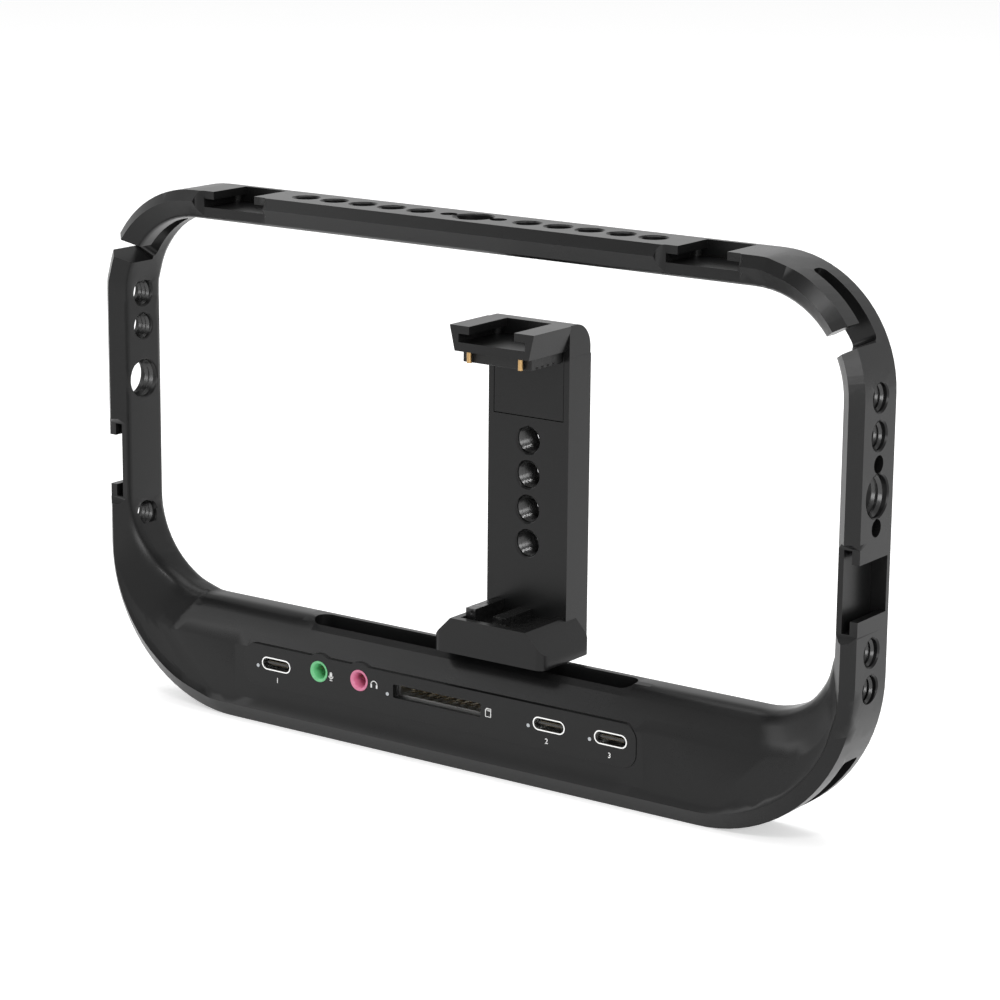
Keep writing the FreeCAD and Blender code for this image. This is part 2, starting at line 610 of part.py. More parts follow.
def jack_contacts():
    return Part.makeCompound([leaf for x in JACK_X for leaf in jack_leaves(x)])


def card_socket():
    shell = box(SD_X[0] - SD_WALL, SD_X[1] + SD_WALL, CAVITY_Y[0] + 0.1, SOCKET_BACK_Y,
                BOARD_TOP_Z, SD_TOP_Z)
    mouth = box(SD_X[0] + 0.6, SD_X[1] - 0.6, CAVITY_Y[0] - 1, SOCKET_BACK_Y - 0.8,
                BOARD_TOP_Z + 0.5, SD_TOP_Z - 0.5)
    window = box(SD_X[0] + 4.0, SD_X[1] - 4.0, -1.6, 2.6, SD_TOP_Z - 1, SD_TOP_Z + 1)
    return shell.cut([mouth, window])


def card_contacts():
    """Sprung contact strips in the card slot, on a strip of insulator."""
    first = (SD_X[0] + SD_X[1]) / 2 - (SD_CONTACT_COUNT - 1) / 2 * SD_CONTACT_PITCH
    base = box(SD_X[0] + 0.9, SD_X[1] - 0.9, 0.6, 3.6, BOARD_TOP_Z + 0.5, BOARD_TOP_Z + 1.1)
    parts = [base]
    for i in range(SD_CONTACT_COUNT):
        x = first + i * SD_CONTACT_PITCH
        parts.append(prism_x(SD_STRIP, x - 0.45, x + 0.45).cut(base))
    return Part.makeCompound(parts)


def light_pipes():
    pipes = [tube_y(x, LIGHT_Z, LIGHT_R, PANEL_FRONT_Y, LIGHT_BACK_Y) for x in LIGHT_X]
    return Part.makeCompound(pipes)


def hub_board():
    board = box(BOARD_X[0], BOARD_X[1], BOARD_Y[0], BOARD_Y[1],
                BOARD_TOP_Z - BOARD_THICK, BOARD_TOP_Z)
    half = POST_HALF_WIDTH + 0.4
    notches = [box(-half, half, POST_INNER_Y[1] - 0.2, SOCKET_BACK_Y + 1, 10, 16),
               box(-half, half, BOARD_Y[0] - 1, POST_INNER_Y[0] + 0.2, 10, 16)]
    holes = [tube_z(x, y, BOARD_HOLE_R, 10, 16) for x, y in BOARD_SCREW_XY]
    return board.cut(notches + holes)


def hub_chips():
    """Packages on the board: the hub chip, the card reader, the sound chip and power parts."""
    low = BOARD_TOP_Z - BOARD_THICK
    chips = []
    for x, y, width, depth, height in CHIPS:
        chips.append(box(x - width / 2, x + width / 2, y - depth / 2, y + depth / 2, low - height, low))
    return Part.makeCompound(chips)


def shield_can():
    """A folded cover over the hub chip, soldered to the board's underside."""
    low = BOARD_TOP_Z - BOARD_THICK
    can = box(CAN_X[0], CAN_X[1], CAN_Y[0], CAN_Y[1], low - CAN_HEIGHT, low)
    inside = box(CAN_X[0] + CAN_WALL, CAN_X[1] - CAN_WALL, CAN_Y[0] + CAN_WALL, CAN_Y[1] - CAN_WALL,
                 low - CAN_HEIGHT + CAN_WALL, low + 1)
    return can.cut(inside)


def thermal_pad():
    """Soft pad that carries the hub chip's heat from the shield can to the bottom cover."""
    top = BOARD_TOP_Z - BOARD_THICK - CAN_HEIGHT
    return box(THERMAL_X[0], THERMAL_X[1], THERMAL_Y[0], THERMAL_Y[1], COVER_Z[1], top)


def channel_divider():
    plate = box(SHELF_X[0] + 0.1, SHELF_X[1] - 0.1, ROOF_Y[0] + 0.1, ROOF_Y[1] - 0.1,
                CHANNEL_Z[0] - DIVIDER_THICK, CHANNEL_Z[0])
    holes = [tube_z(x, y, DIVIDER_SCREW[2] + 0.15, 18, 22) for x, y in DIVIDER_SCREW_XY]
    return plate.cut(holes)


def screws(places, size, seat_z, tip_z):
    """Screws with hex sockets along z. The head's underside is at seat_z, the tip at tip_z."""
    head_r, head_h, shank_r = size
    away = 1 if seat_z > tip_z else -1
    solids = []
    for x, y in places:
        head = tube_z(x, y, head_r, *sorted((seat_z, seat_z + away * head_h)))
        shank = tube_z(x, y, shank_r, *sorted((seat_z, tip_z)))
        socket = hex_prism(x, y, head_r * 0.5,
                           *sorted((seat_z + away * head_h * 0.4, seat_z + away * (head_h + 1))))
        solids.append(fuse([head, shank]).cut(socket))
    return Part.makeCompound(solids)


def hex_prism(x, y, r, z0, z1):
    points = [V(x + r * math.cos(math.radians(60 * i)), y + r * math.sin(math.radians(60 * i)), z0)
              for i in range(7)]
    return Part.Face(Part.makePolygon(points)).extrude(V(0, 0, z1 - z0))


def bottom_cover():
    cover = box(-COVER_HALF_LENGTH + 0.1, COVER_HALF_LENGTH - 0.1, COVER_Y[0] + 0.1,
                COVER_Y[1] - 0.1, COVER_Z[0], COVER_Z[1])
    upright = [e for e in cover.Edges if abs(e.Vertexes[0].Z - e.Vertexes[1].Z) > 1.0]
    cover = cover.makeFillet(1.0, upright)
    cuts = []
    for x, y in COVER_SCREW_XY:
        cuts.append(tube_z(x, y, COVER_SCREW[2] + 0.25, -1, 3))
        cuts.append(tube_z(x, y, COVER_SCREW[0] + 0.1, -1, COVER_Z[0] + COVER_SCREW[1] + 0.05))
    return cover.cut(cuts)


def clamp_body():
    """Upright body and lower jaw, milled from one piece."""
    c = CLAMP_X
    body = box(c - BODY_HALF_WIDTH, c + BODY_HALF_WIDTH, BODY_Y[0], BODY_Y[1],
               JAW_BOTTOM_Z, BODY_TOP_Z)
    profile = [
        (c - JAW_HALF_WIDTH, JAW_BOTTOM_Z), (c + JAW_HALF_WIDTH, JAW_BOTTOM_Z),
        (c + JAW_HALF_WIDTH, JAW_WALL_TOP_Z), (c + JAW_SHOULDER_HALF_WIDTH, JAW_TOP_Z),
        (c - JAW_SHOULDER_HALF_WIDTH, JAW_TOP_Z), (c - JAW_HALF_WIDTH, JAW_WALL_TOP_Z)]
    jaw = prism_y(profile, JAW_FRONT_Y, JAW_BACK_Y)
    corners = [e for e in jaw.Edges if abs(e.Vertexes[0].Z - e.Vertexes[1].Z) > 3.0
               and abs(e.Vertexes[0].X - e.Vertexes[1].X) < EPS]
    jaw = jaw.makeFillet(JAW_EDGE_R, corners)
    clamp = fuse([body, jaw])
    cuts = [box(c - LOWER_PAD_HALF_WIDTH, c + LOWER_PAD_HALF_WIDTH, LOWER_PAD_Y[0], BODY_Y[0],
                LOWER_PAD_BED_Z, JAW_TOP_Z + 1)]
    for z in BODY_HOLE_Z:
        cuts += threaded_hole(V(c, BODY_Y[0], z), V(0, 1, 0), QUARTER_R, QUARTER_MOUTH_R,
                              BODY_Y[1] - BODY_Y[0])
    cuts.append(box(c - PLATE_HALF_WIDTH - 0.1, c + PLATE_HALF_WIDTH + 0.1, BODY_Y[0] - 1,
                    BODY_Y[0] + PLATE_DEPTH + 0.1, PLATE_BOTTOM_Z - 0.15, BODY_TOP_Z + 1))
    for side in (-1, 1):
        x = c + side * ROD_OFFSET
        cuts.append(tube_z(x, ROD_Y, ROD_BORE_R, ROD_BORE_BOTTOM_Z, BODY_TOP_Z + 1))
    for x, y in base_screw_places():
        cuts.append(tube_z(x, y, BASE_SCREW[2] + 0.1, JAW_BOTTOM_Z - 1, JAW_TOP_Z))
        cuts.append(tube_z(x, y, BASE_SCREW[0] + 0.1, BASE_SCREW_SEAT_Z, JAW_TOP_Z))
    return clamp.cut(cuts)


def base_screw_places():
    return [(CLAMP_X - BASE_SCREW_OFFSET, SLOT_Y), (CLAMP_X + BASE_SCREW_OFFSET, SLOT_Y)]


def slide_nut():
    """T-shaped nut: its neck runs in the bar's slot and its flange under the slot's edges."""
    neck = slot_shape(NUT_NECK_HALF_LENGTH, SLOT_WIDTH - 0.2, CHANNEL_Z[1] - 1, JAW_BOTTOM_Z)
    half_length, half_width = NUT_FLANGE
    flange = box(-half_length, half_length, -half_width, half_width,
                 CHANNEL_Z[0] + 0.3, CHANNEL_Z[1] - 0.2)
    nut = fuse([neck, flange])
    nut.translate(V(CLAMP_X, SLOT_Y, 0))
    return nut.cut([tube_z(x, y, BASE_SCREW[2], CHANNEL_Z[0], 30) for x, y in base_screw_places()])


def lower_jaw_pad():
    """Rubber pad with two raised blocks, glued into the lower jaw."""
    c = CLAMP_X
    back = BODY_Y[0] - PAD_GAP
    pad = box(c - LOWER_PAD_HALF_WIDTH + PAD_GAP, c + LOWER_PAD_HALF_WIDTH - PAD_GAP,
              LOWER_PAD_Y[0] + PAD_GAP, back, LOWER_PAD_BED_Z, LOWER_PAD_TOP_Z)
    blocks = [box(c + x0, c + x1, front, back, LOWER_PAD_TOP_Z - 0.5, top)
              for (x0, x1), front, top in PAD_BLOCKS]
    return fuse([pad] + blocks)


def guide_bushes():
    bushes = []
    for side in (-1, 1):
        x = CLAMP_X + side * ROD_OFFSET
        bush = tube_z(x, ROD_Y, ROD_BORE_R, *BUSH_Z)
        bushes.append(bush.cut(tube_z(x, ROD_Y, ROD_R + RUN_GAP, 80, 110)))
    return Part.makeCompound(bushes)


def guide_rods():
    rods = [tube_z(CLAMP_X + side * ROD_OFFSET, ROD_Y, ROD_R, ROD_STOP_Z[0], ROD_TOP_Z)
            for side in (-1, 1)]
    return Part.makeCompound(rods)


def rod_stops():
    stops = []
    for side in (-1, 1):
        x = CLAMP_X + side * ROD_OFFSET
        stop = tube_z(x, ROD_Y, ROD_STOP_R, *ROD_STOP_Z)
        stops.append(stop.cut(tube_z(x, ROD_Y, ROD_R, 30, 40)))
    return Part.makeCompound(stops)


def return_springs():
    """Compression springs round the rods, between the bushes and the rods' end stops."""
    low = ROD_STOP_Z[1] + SPRING_WIRE_R + 0.05
    high = BUSH_Z[0] - SPRING_WIRE_R - 0.05
    pitch = (high - low) / SPRING_COILS
    springs = []
    for side in (-1, 1):
        path = Part.makeHelix(pitch, high - low, SPRING_R)
        start = V(SPRING_R, 0, 0)
        profile = Part.Wire(Part.makeCircle(SPRING_WIRE_R, start, V(0, 1, 0)))
        coil = Part.Wire(path).makePipeShell([profile], True, True)
        coil.translate(V(CLAMP_X + side * ROD_OFFSET, ROD_Y, low))
        springs.append(coil)
    return Part.makeCompound(springs)


def slider_plate():
    """Plate that closes the body's front pocket and rises with the upper jaw."""
    c = CLAMP_X
    plate = box(c - PLATE_HALF_WIDTH, c + PLATE_HALF_WIDTH, BODY_Y[0], BODY_Y[0] + PLATE_DEPTH,
                PLATE_BOTTOM_Z, BODY_TOP_Z)
    return fuse([plate, plate_tongue()])


def plate_tongue():
    half_width, y0, y1, top = PLATE_TONGUE
    return box(CLAMP_X - half_width, CLAMP_X + half_width, y0, y1, BODY_TOP_Z - 1, top)


def upper_jaw():
    """Upper jaw with the clamp's cold shoe in its top, and a rounded back corner."""
    c = CLAMP_X
    side = [
        (UPPER_JAW_FRONT_Y, UPPER_JAW_Z[0]), (UPPER_JAW_FRONT_Y, UPPER_JAW_Z[1]),
        (UPPER_JAW_BACK_Y, UPPER_JAW_Z[1]), (UPPER_JAW_BACK_Y, BODY_TOP_Z),
        (BODY_Y[0], BODY_TOP_Z), (BODY_Y[0], UPPER_JAW_Z[0])]
    jaw = prism_x(side, c - 14.0, c + 14.0)
    back_edge = [e for e in jaw.Edges
                 if min(v.Y for v in e.Vertexes) > UPPER_JAW_BACK_Y - EPS
                 and min(v.Z for v in e.Vertexes) > UPPER_JAW_Z[1] - EPS]
    jaw = jaw.makeFillet(UPPER_JAW_BACK_R, back_edge)
    front_view = [
        (c - UPPER_JAW_LOW_HALF_WIDTH, UPPER_JAW_Z[0]), (c - UPPER_JAW_TOP_HALF_WIDTH, UPPER_JAW_Z[1]),
        (c + UPPER_JAW_TOP_HALF_WIDTH, UPPER_JAW_Z[1]), (c + UPPER_JAW_LOW_HALF_WIDTH, UPPER_JAW_Z[0])]
    taper = prism_y(front_view, UPPER_JAW_FRONT_Y - 1, BODY_Y[0])
    block = box(c - BODY_HALF_WIDTH, c + BODY_HALF_WIDTH, BODY_Y[0], UPPER_JAW_BACK_Y + 1,
                BODY_TOP_Z - 1, UPPER_JAW_Z[1] + 1)
    jaw = jaw.common(fuse([taper, block]))
    shoe = shoe_cut(UPPER_JAW_FRONT_Y - 2, JAW_SHOE_STOP_Y)
    shoe.translate(V(c, 0, UPPER_JAW_Z[1]))
    cuts = [shoe, plate_tongue()]
    for side in (-1, 1):
        cuts.append(tube_z(c + side * ROD_OFFSET, ROD_Y, ROD_R, BODY_TOP_Z - 1, ROD_TOP_Z))
        cuts.append(tube_z(c + side * PAD_PIN_OFFSET, PAD_PIN_Y, PAD_PIN_R, UPPER_JAW_Z[0] - 1,
                           PAD_PIN_TOP_Z))
    return jaw.cut(cuts)


def pad_pins():
    pins = [tube_z(CLAMP_X + side * PAD_PIN_OFFSET, PAD_PIN_Y, PAD_PIN_R, UPPER_PAD_Z[0] + 0.1,
                   PAD_PIN_TOP_Z) for side in (-1, 1)]
    return Part.makeCompound(pins)


def upper_jaw_pad():
    c = CLAMP_X
    pad = box(c - UPPER_PAD_HALF_WIDTH, c + UPPER_PAD_HALF_WIDTH, UPPER_PAD_Y[0], UPPER_PAD_Y[1],
              UPPER_PAD_Z[0], UPPER_PAD_Z[1])
    width, depth = PAD_GROOVE
    grooves = [box(c - 12, c + 12, y, y + width, UPPER_PAD_Z[0] - 1, UPPER_PAD_Z[0] + depth)
               for y in PAD_GROOVE_Y]
    return pad.cut(grooves)


def all_parts():
    parts = {
        "cage_frame": cage_frame(),
        "port_panel": port_panel(),
        "microphone_jack": audio_jack(JACK_X[0]),
        "headphone_jack": audio_jack(JACK_X[1]),
        "jack_contacts": jack_contacts(),
        "card_socket": card_socket(),
        "card_contacts": card_contacts(),
        "light_pipes": light_pipes(),
        "hub_board": hub_board(),
        "hub_chips": hub_chips(),
        "shield_can": shield_can(),
        "thermal_pad": thermal_pad(),
        "channel_divider": channel_divider(),
        "divider_screws": screws(DIVIDER_SCREW_XY, DIVIDER_SCREW, CHANNEL_Z[0] - DIVIDER_THICK,
                                 DIVIDER_SCREW_TIP_Z),
        "board_screws": screws(BOARD_SCREW_XY, BOARD_SCREW, BOARD_TOP_Z - BOARD_THICK,
                               BOARD_SCREW_TIP_Z),
        "bottom_cover": bottom_cover(),
        "cover_screws": screws(COVER_SCREW_XY, COVER_SCREW, COVER_Z[0] + COVER_SCREW[1] + 0.05,
                               COVER_SCREW_TIP_Z),
        "clamp_body": clamp_body(),
        "lower_jaw_pad": lower_jaw_pad(),
        "base_screws": screws(base_screw_places(), BASE_SCREW, BASE_SCREW_SEAT_Z, CHANNEL_Z[0] + 0.8),
        "slide_nut": slide_nut(),
        "guide_bushes": guide_bushes(),
        "guide_rods": guide_rods(),
        "rod_stops": rod_stops(),
        "return_springs": return_springs(),
        "slider_plate": slider_plate(),
        "upper_jaw": upper_jaw(),
        "upper_jaw_pad": upper_jaw_pad(),
        "pad_pins": pad_pins(),
    }
    for number, x in enumerate(USB_X, start=1):
        parts[f"usb_shell_{number}"] = usb_socket(x)
        parts[f"usb_tongue_{number}"] = usb_tongue(x)
    return parts


def main():
    os.makedirs("parts", exist_ok=True)
    for name, shape in all_parts().items():
        shape.exportStep(os.path.join("parts", name + ".step"))
        box_ = shape.BoundBox
        print(f"{name}: valid {shape.isValid()} solids {len(shape.Solids)} volume {shape.Volume:.1f} "
              f"x {box_.XMin:.2f}..{box_.XMax:.2f} y {box_.YMin:.2f}..{box_.YMax:.2f} "
              f"z {box_.ZMin:.2f}..{box_.ZMax:.2f}")


main()
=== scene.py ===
"""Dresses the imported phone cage: anodised ring, clamp, hub ports, threads, marks, light and camera."""

import logging
import math
from dataclasses import dataclass
from enum import Enum

import bmesh
import bpy
from mathutils import Matrix, Vector

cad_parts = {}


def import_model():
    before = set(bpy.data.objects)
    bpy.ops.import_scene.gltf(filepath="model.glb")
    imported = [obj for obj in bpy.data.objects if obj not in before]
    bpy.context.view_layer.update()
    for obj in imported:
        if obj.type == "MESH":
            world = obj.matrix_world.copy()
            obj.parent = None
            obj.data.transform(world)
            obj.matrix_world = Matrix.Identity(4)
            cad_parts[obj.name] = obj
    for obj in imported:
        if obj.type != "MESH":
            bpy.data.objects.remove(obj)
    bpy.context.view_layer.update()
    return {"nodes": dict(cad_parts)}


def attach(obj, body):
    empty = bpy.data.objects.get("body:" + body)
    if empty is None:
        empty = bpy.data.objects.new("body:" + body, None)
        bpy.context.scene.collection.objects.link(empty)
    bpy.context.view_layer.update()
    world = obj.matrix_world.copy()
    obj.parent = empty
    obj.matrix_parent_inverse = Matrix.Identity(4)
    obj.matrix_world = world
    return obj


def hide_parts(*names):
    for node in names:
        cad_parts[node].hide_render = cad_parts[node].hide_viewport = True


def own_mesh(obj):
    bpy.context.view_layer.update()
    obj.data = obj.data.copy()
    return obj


LOG = logging.getLogger("phone_cage")
MM = 0.001
WELD_REACH = 2e-6
FLAT_DEG = 0.3
GRID_PITCH = 4.0
GRID_SNAP = 0.15
EDGE_STEPS = 2
EDGE_DEG = 50.0
THREAD_SMOOTH_DEG = 50.0
RIDGE_STEPS_PER_TURN = 40
RIDGE_SIDES = 4
MOTTLE_SHARE = 0.4
WHITE = (1.0, 1.0, 1.0, 1.0)

Colour = tuple[float, float, float]
Point = tuple[float, float, float]


class Body(Enum):
    """The three bodies of the part."""

    CAGE = "cage"
    CLAMP = "clamp"
    JAW = "jaw"


class Surface(Enum):
    """How a finish's fine relief is laid out."""

    GRAIN = "grain"
    BRUSHED_X = "brushed_x"
    BRUSHED_Z = "brushed_z"
    PEBBLE = "pebble"


def maths(tree: bpy.types.NodeTree, operation: str,
          *values: bpy.types.NodeSocket | float) -> bpy.types.NodeSocket:
    """Adds a maths node.

    Args:
        tree: The node tree.
        operation: What it does.
        values: Its inputs in order, each a socket to join or a plain number.

    Returns:
        Its result.
    """
    node = tree.nodes.new("ShaderNodeMath")
    node.operation = operation
    for socket, value in zip(node.inputs, values):
        if isinstance(value, bpy.types.NodeSocket):
            tree.links.new(value, socket)
        else:
            socket.default_value = value
    return node.outputs[0]


@dataclass(frozen=True)
class Finish:
    """One procedural finish on Object coordinates."""

    name: str
    colour: Colour
    roughness: float
    metallic: float = 0.0
    surface: Surface = Surface.GRAIN
    grain_per_m: float = 9000.0
    relief: float = 0.00002
    colour_spread: float = 0.25
    roughness_spread: float = 0.08
    specular: float = 0.5
    mottle_per_m: float = 60.0

    def build(self) -> bpy.types.Material:
        """Makes the material, or returns it if it is made already.

        Returns:
            The Blender material.
        """
        label = self.name + "_finish"
        made = bpy.data.materials.get(label)
        if made is not None:
            return made
        material = bpy.data.materials.new(label)
        material.use_nodes = True
        material.diffuse_color = (*self.colour, 1.0)
        tree = material.node_tree
        shader = tree.nodes["Principled BSDF"]
        shader.inputs["Metallic"].default_value = self.metallic
        shader.inputs["Specular IOR Level"].default_value = self.specular
        place = tree.nodes.new("ShaderNodeTexCoord").outputs["Object"]
        mottle = self._noise(tree, place, self.mottle_per_m, detail=3.0)
        fine = self._fine(tree, place)
        self._spread_colour(tree, mottle, fine, shader)
        self._spread_roughness(tree, mottle, fine, shader)
        if self.relief > 0.0:
            bump = tree.nodes.new("ShaderNodeBump")
            bump.inputs["Distance"].default_value = self.relief
            tree.links.new(fine, bump.inputs["Height"])
            tree.links.new(bump.outputs["Normal"], shader.inputs["Normal"])
        return material

    def _noise(self, tree: bpy.types.NodeTree, place: bpy.types.NodeSocket, per_m: float,
               detail: float) -> bpy.types.NodeSocket:
        """Adds a noise texture.

        Args:
            tree: The material's node tree.
            place: The coordinates it reads.
            per_m: Features per metre.
            detail: Octaves of finer noise.

        Returns:
            The noise's value.
        """
        noise = tree.nodes.new("ShaderNodeTexNoise")
        noise.inputs["Scale"].default_value = per_m
        noise.inputs["Detail"].default_value = detail
        tree.links.new(place, noise.inputs["Vector"])
        return noise.outputs["Fac"]

    def _fine(self, tree: bpy.types.NodeTree, place: bpy.types.NodeSocket) -> bpy.types.NodeSocket:
        """Adds the fine relief pattern.

        Args:
            tree: The material's node tree.
            place: The coordinates it reads.

        Returns:
            The pattern's height.
        """
        if self.surface is Surface.PEBBLE:
            cells = tree.nodes.new("ShaderNodeTexVoronoi")
            cells.feature = "SMOOTH_F1"
            cells.inputs["Scale"].default_value = self.grain_per_m
            tree.links.new(place, cells.inputs["Vector"])
            return cells.outputs["Distance"]
        stretch = {
            Surface.BRUSHED_X: (0.02, 1.0, 1.0),
            Surface.BRUSHED_Z: (1.0, 1.0, 0.02),
        }.get(self.surface)
        if stretch is not None:
            mapping = tree.nodes.new("ShaderNodeMapping")
            mapping.inputs["Scale"].default_value = stretch
            tree.links.new(place, mapping.inputs["Vector"])
            place = mapping.outputs["Vector"]
        return self._noise(tree, place, self.grain_per_m, detail=2.0)

    def _spread_colour(self, tree: bpy.types.NodeTree, mottle: bpy.types.NodeSocket,
                       fine: bpy.types.NodeSocket, shader: bpy.types.Node) -> None:
        """Varies the colour with the mottle and the fine pattern.

        Args:
            tree: The material's node tree.
            mottle: Slow noise.
            fine: Fine pattern.
            shader: The shader node.
        """
        rest = maths(tree, "MULTIPLY", fine, 1.0 - MOTTLE_SHARE)
        both = maths(tree, "MULTIPLY_ADD", mottle, MOTTLE_SHARE, rest)
        ramp = tree.nodes.new("ShaderNodeValToRGB")
        low, high = ramp.color_ramp.elements
        low.position, high.position = 0.25, 0.75
        low.color = (*[c * (1.0 - self.colour_spread) for c in self.colour], 1.0)
        high.color = (*[min(1.0, c * (1.0 + self.colour_spread)) for c in self.colour], 1.0)
        tree.links.new(both, ramp.inputs["Fac"])
        tree.links.new(ramp.outputs["Color"], shader.inputs["Base Color"])

    def _spread_roughness(self, tree: bpy.types.NodeTree, mottle: bpy.types.NodeSocket,
                          fine: bpy.types.NodeSocket, shader: bpy.types.Node) -> None:
        """Varies the roughness with the mottle and the fine pattern.

        Args:
            tree: The material's node tree.
            mottle: Slow noise.
            fine: Fine pattern.
            shader: The shader node.
        """
        scale = tree.nodes.new("ShaderNodeMapRange")
        scale.inputs["From Min"].default_value = 0.5
        scale.inputs["From Max"].default_value = 1.5
        scale.inputs["To Min"].default_value = max(0.02, self.roughness - self.roughness_spread)
        scale.inputs["To Max"].default_value = min(1.0, self.roughness + self.roughness_spread)
        tree.links.new(maths(tree, "ADD", mottle, fine), scale.inputs["Value"])
        tree.links.new(scale.outputs["Result"], shader.inputs["Roughness"])


ANODISED = Finish("anodised_black", (0.0062, 0.0062, 0.0063), 0.30, specular=0.24, relief=0.000004,
                  colour_spread=0.20, roughness_spread=0.04, grain_per_m=5200.0)
THREAD_METAL = Finish("thread_black", (0.014, 0.014, 0.014), 0.24, specular=0.6, relief=0.000004)
PANEL_PLASTIC = Finish("panel_black", (0.0062, 0.0062, 0.0063), 0.34, specular=0.25, relief=0.000003)
GREEN_PLASTIC = Finish("jack_green", (0.14, 0.50, 0.22), 0.28, relief=0.000004, colour_spread=0.08)
PINK_PLASTIC = Finish("jack_pink", (0.62, 0.18, 0.30), 0.28, relief=0.000004, colour_spread=0.08)
GOLD_FLASH = Finish("contact_gold", (0.40, 0.33, 0.21), 0.30, metallic=1.0, relief=0.000002,
                    surface=Surface.BRUSHED_X, colour_spread=0.10)
SOCKET_STEEL = Finish("socket_steel", (0.52, 0.52, 0.51), 0.30, metallic=1.0, relief=0.000003,
                      surface=Surface.BRUSHED_X, colour_spread=0.10)
USB_STEEL = Finish("usb_steel", (0.80, 0.80, 0.79), 0.24, metallic=1.0, relief=0.000003,
                   surface=Surface.BRUSHED_X, colour_spread=0.08)
TONGUE_PLASTIC = Finish("tongue_black", (0.045, 0.045, 0.045), 0.45, relief=0.000004)
LIGHT_PLASTIC = Finish("light_white", (0.46, 0.48, 0.50), 0.35, relief=0.000003, colour_spread=0.05)
BOARD_MASK = Finish("board_green", (0.015, 0.15, 0.05), 0.32, relief=0.000006, colour_spread=0.15)
CHIP_PLASTIC = Finish("chip_black", (0.018, 0.018, 0.020), 0.62, relief=0.000006)
PAD_BLUE = Finish("pad_blue", (0.24, 0.40, 0.60), 0.85, relief=0.00004, grain_per_m=2500.0)
SCREW_STEEL = Finish("screw_steel", (0.56, 0.56, 0.57), 0.28, metallic=1.0, relief=0.000003)
SCREW_BLACK = Finish("screw_black", (0.020, 0.020, 0.022), 0.32, metallic=0.6, relief=0.000004)
NUT_STEEL = Finish("nut_steel", (0.50, 0.50, 0.51), 0.34, metallic=1.0, surface=Surface.BRUSHED_X,
                   relief=0.000006)
BUSH_BRASS = Finish("bush_brass", (0.42, 0.27, 0.12), 0.34, metallic=1.0, surface=Surface.BRUSHED_Z,
                    relief=0.000004, colour_spread=0.14)
ROD_STEEL = Finish("rod_steel", (0.66, 0.66, 0.67), 0.18, metallic=1.0, surface=Surface.BRUSHED_Z,
                   relief=0.000002, colour_spread=0.06)
SPRING_STEEL = Finish("spring_steel", (0.50, 0.50, 0.51), 0.25, metallic=1.0, relief=0.000003)
RUBBER = Finish("rubber_black", (0.0070, 0.0070, 0.0070), 0.42, specular=0.28, surface=Surface.PEBBLE,
                relief=0.00003, grain_per_m=1400.0, roughness_spread=0.10)
RELIEF_RUBBER = Finish("rubber_relief", (0.0070, 0.0070, 0.0070), 0.24, specular=0.50,
                       surface=Surface.PEBBLE, relief=0.00012, grain_per_m=800.0,
                       roughness_spread=0.10)
MARK_PAINT = Finish("mark_white", (0.78, 0.78, 0.77), 0.55, relief=0.000004, colour_spread=0.05)


def link(obj: bpy.types.Object) -> bpy.types.Object:
    """Puts an object into the scene and returns it."""
    bpy.context.scene.collection.objects.link(obj)
    return obj


def mesh_object(name: str, bm: bmesh.types.BMesh, finish: Finish) -> bpy.types.Object:
    """Turns a bmesh into a linked object with one finish.

    Args:
        name: The piece's name.
        bm: Its mesh, which is freed here.
        finish: Its finish.

    Returns:
        The object, at the origin.
    """
    mesh = bpy.data.meshes.new(name)
    bmesh.ops.recalc_face_normals(bm, faces=bm.faces)
    bm.to_mesh(mesh)
    bm.free()
    mesh.materials.append(finish.build())
    return link(bpy.data.objects.new(name, mesh))


def smooth_by_angle(obj: bpy.types.Object, degrees: float) -> None:
    """Smooths a mesh's shading, with sharp edges above an angle.

    Args:
        obj: The object.
        degrees: Edges that turn more than this stay sharp.
    """
    for polygon in obj.data.polygons:
        polygon.use_smooth = True
    obj.data.set_sharp_from_angle(angle=math.radians(degrees))


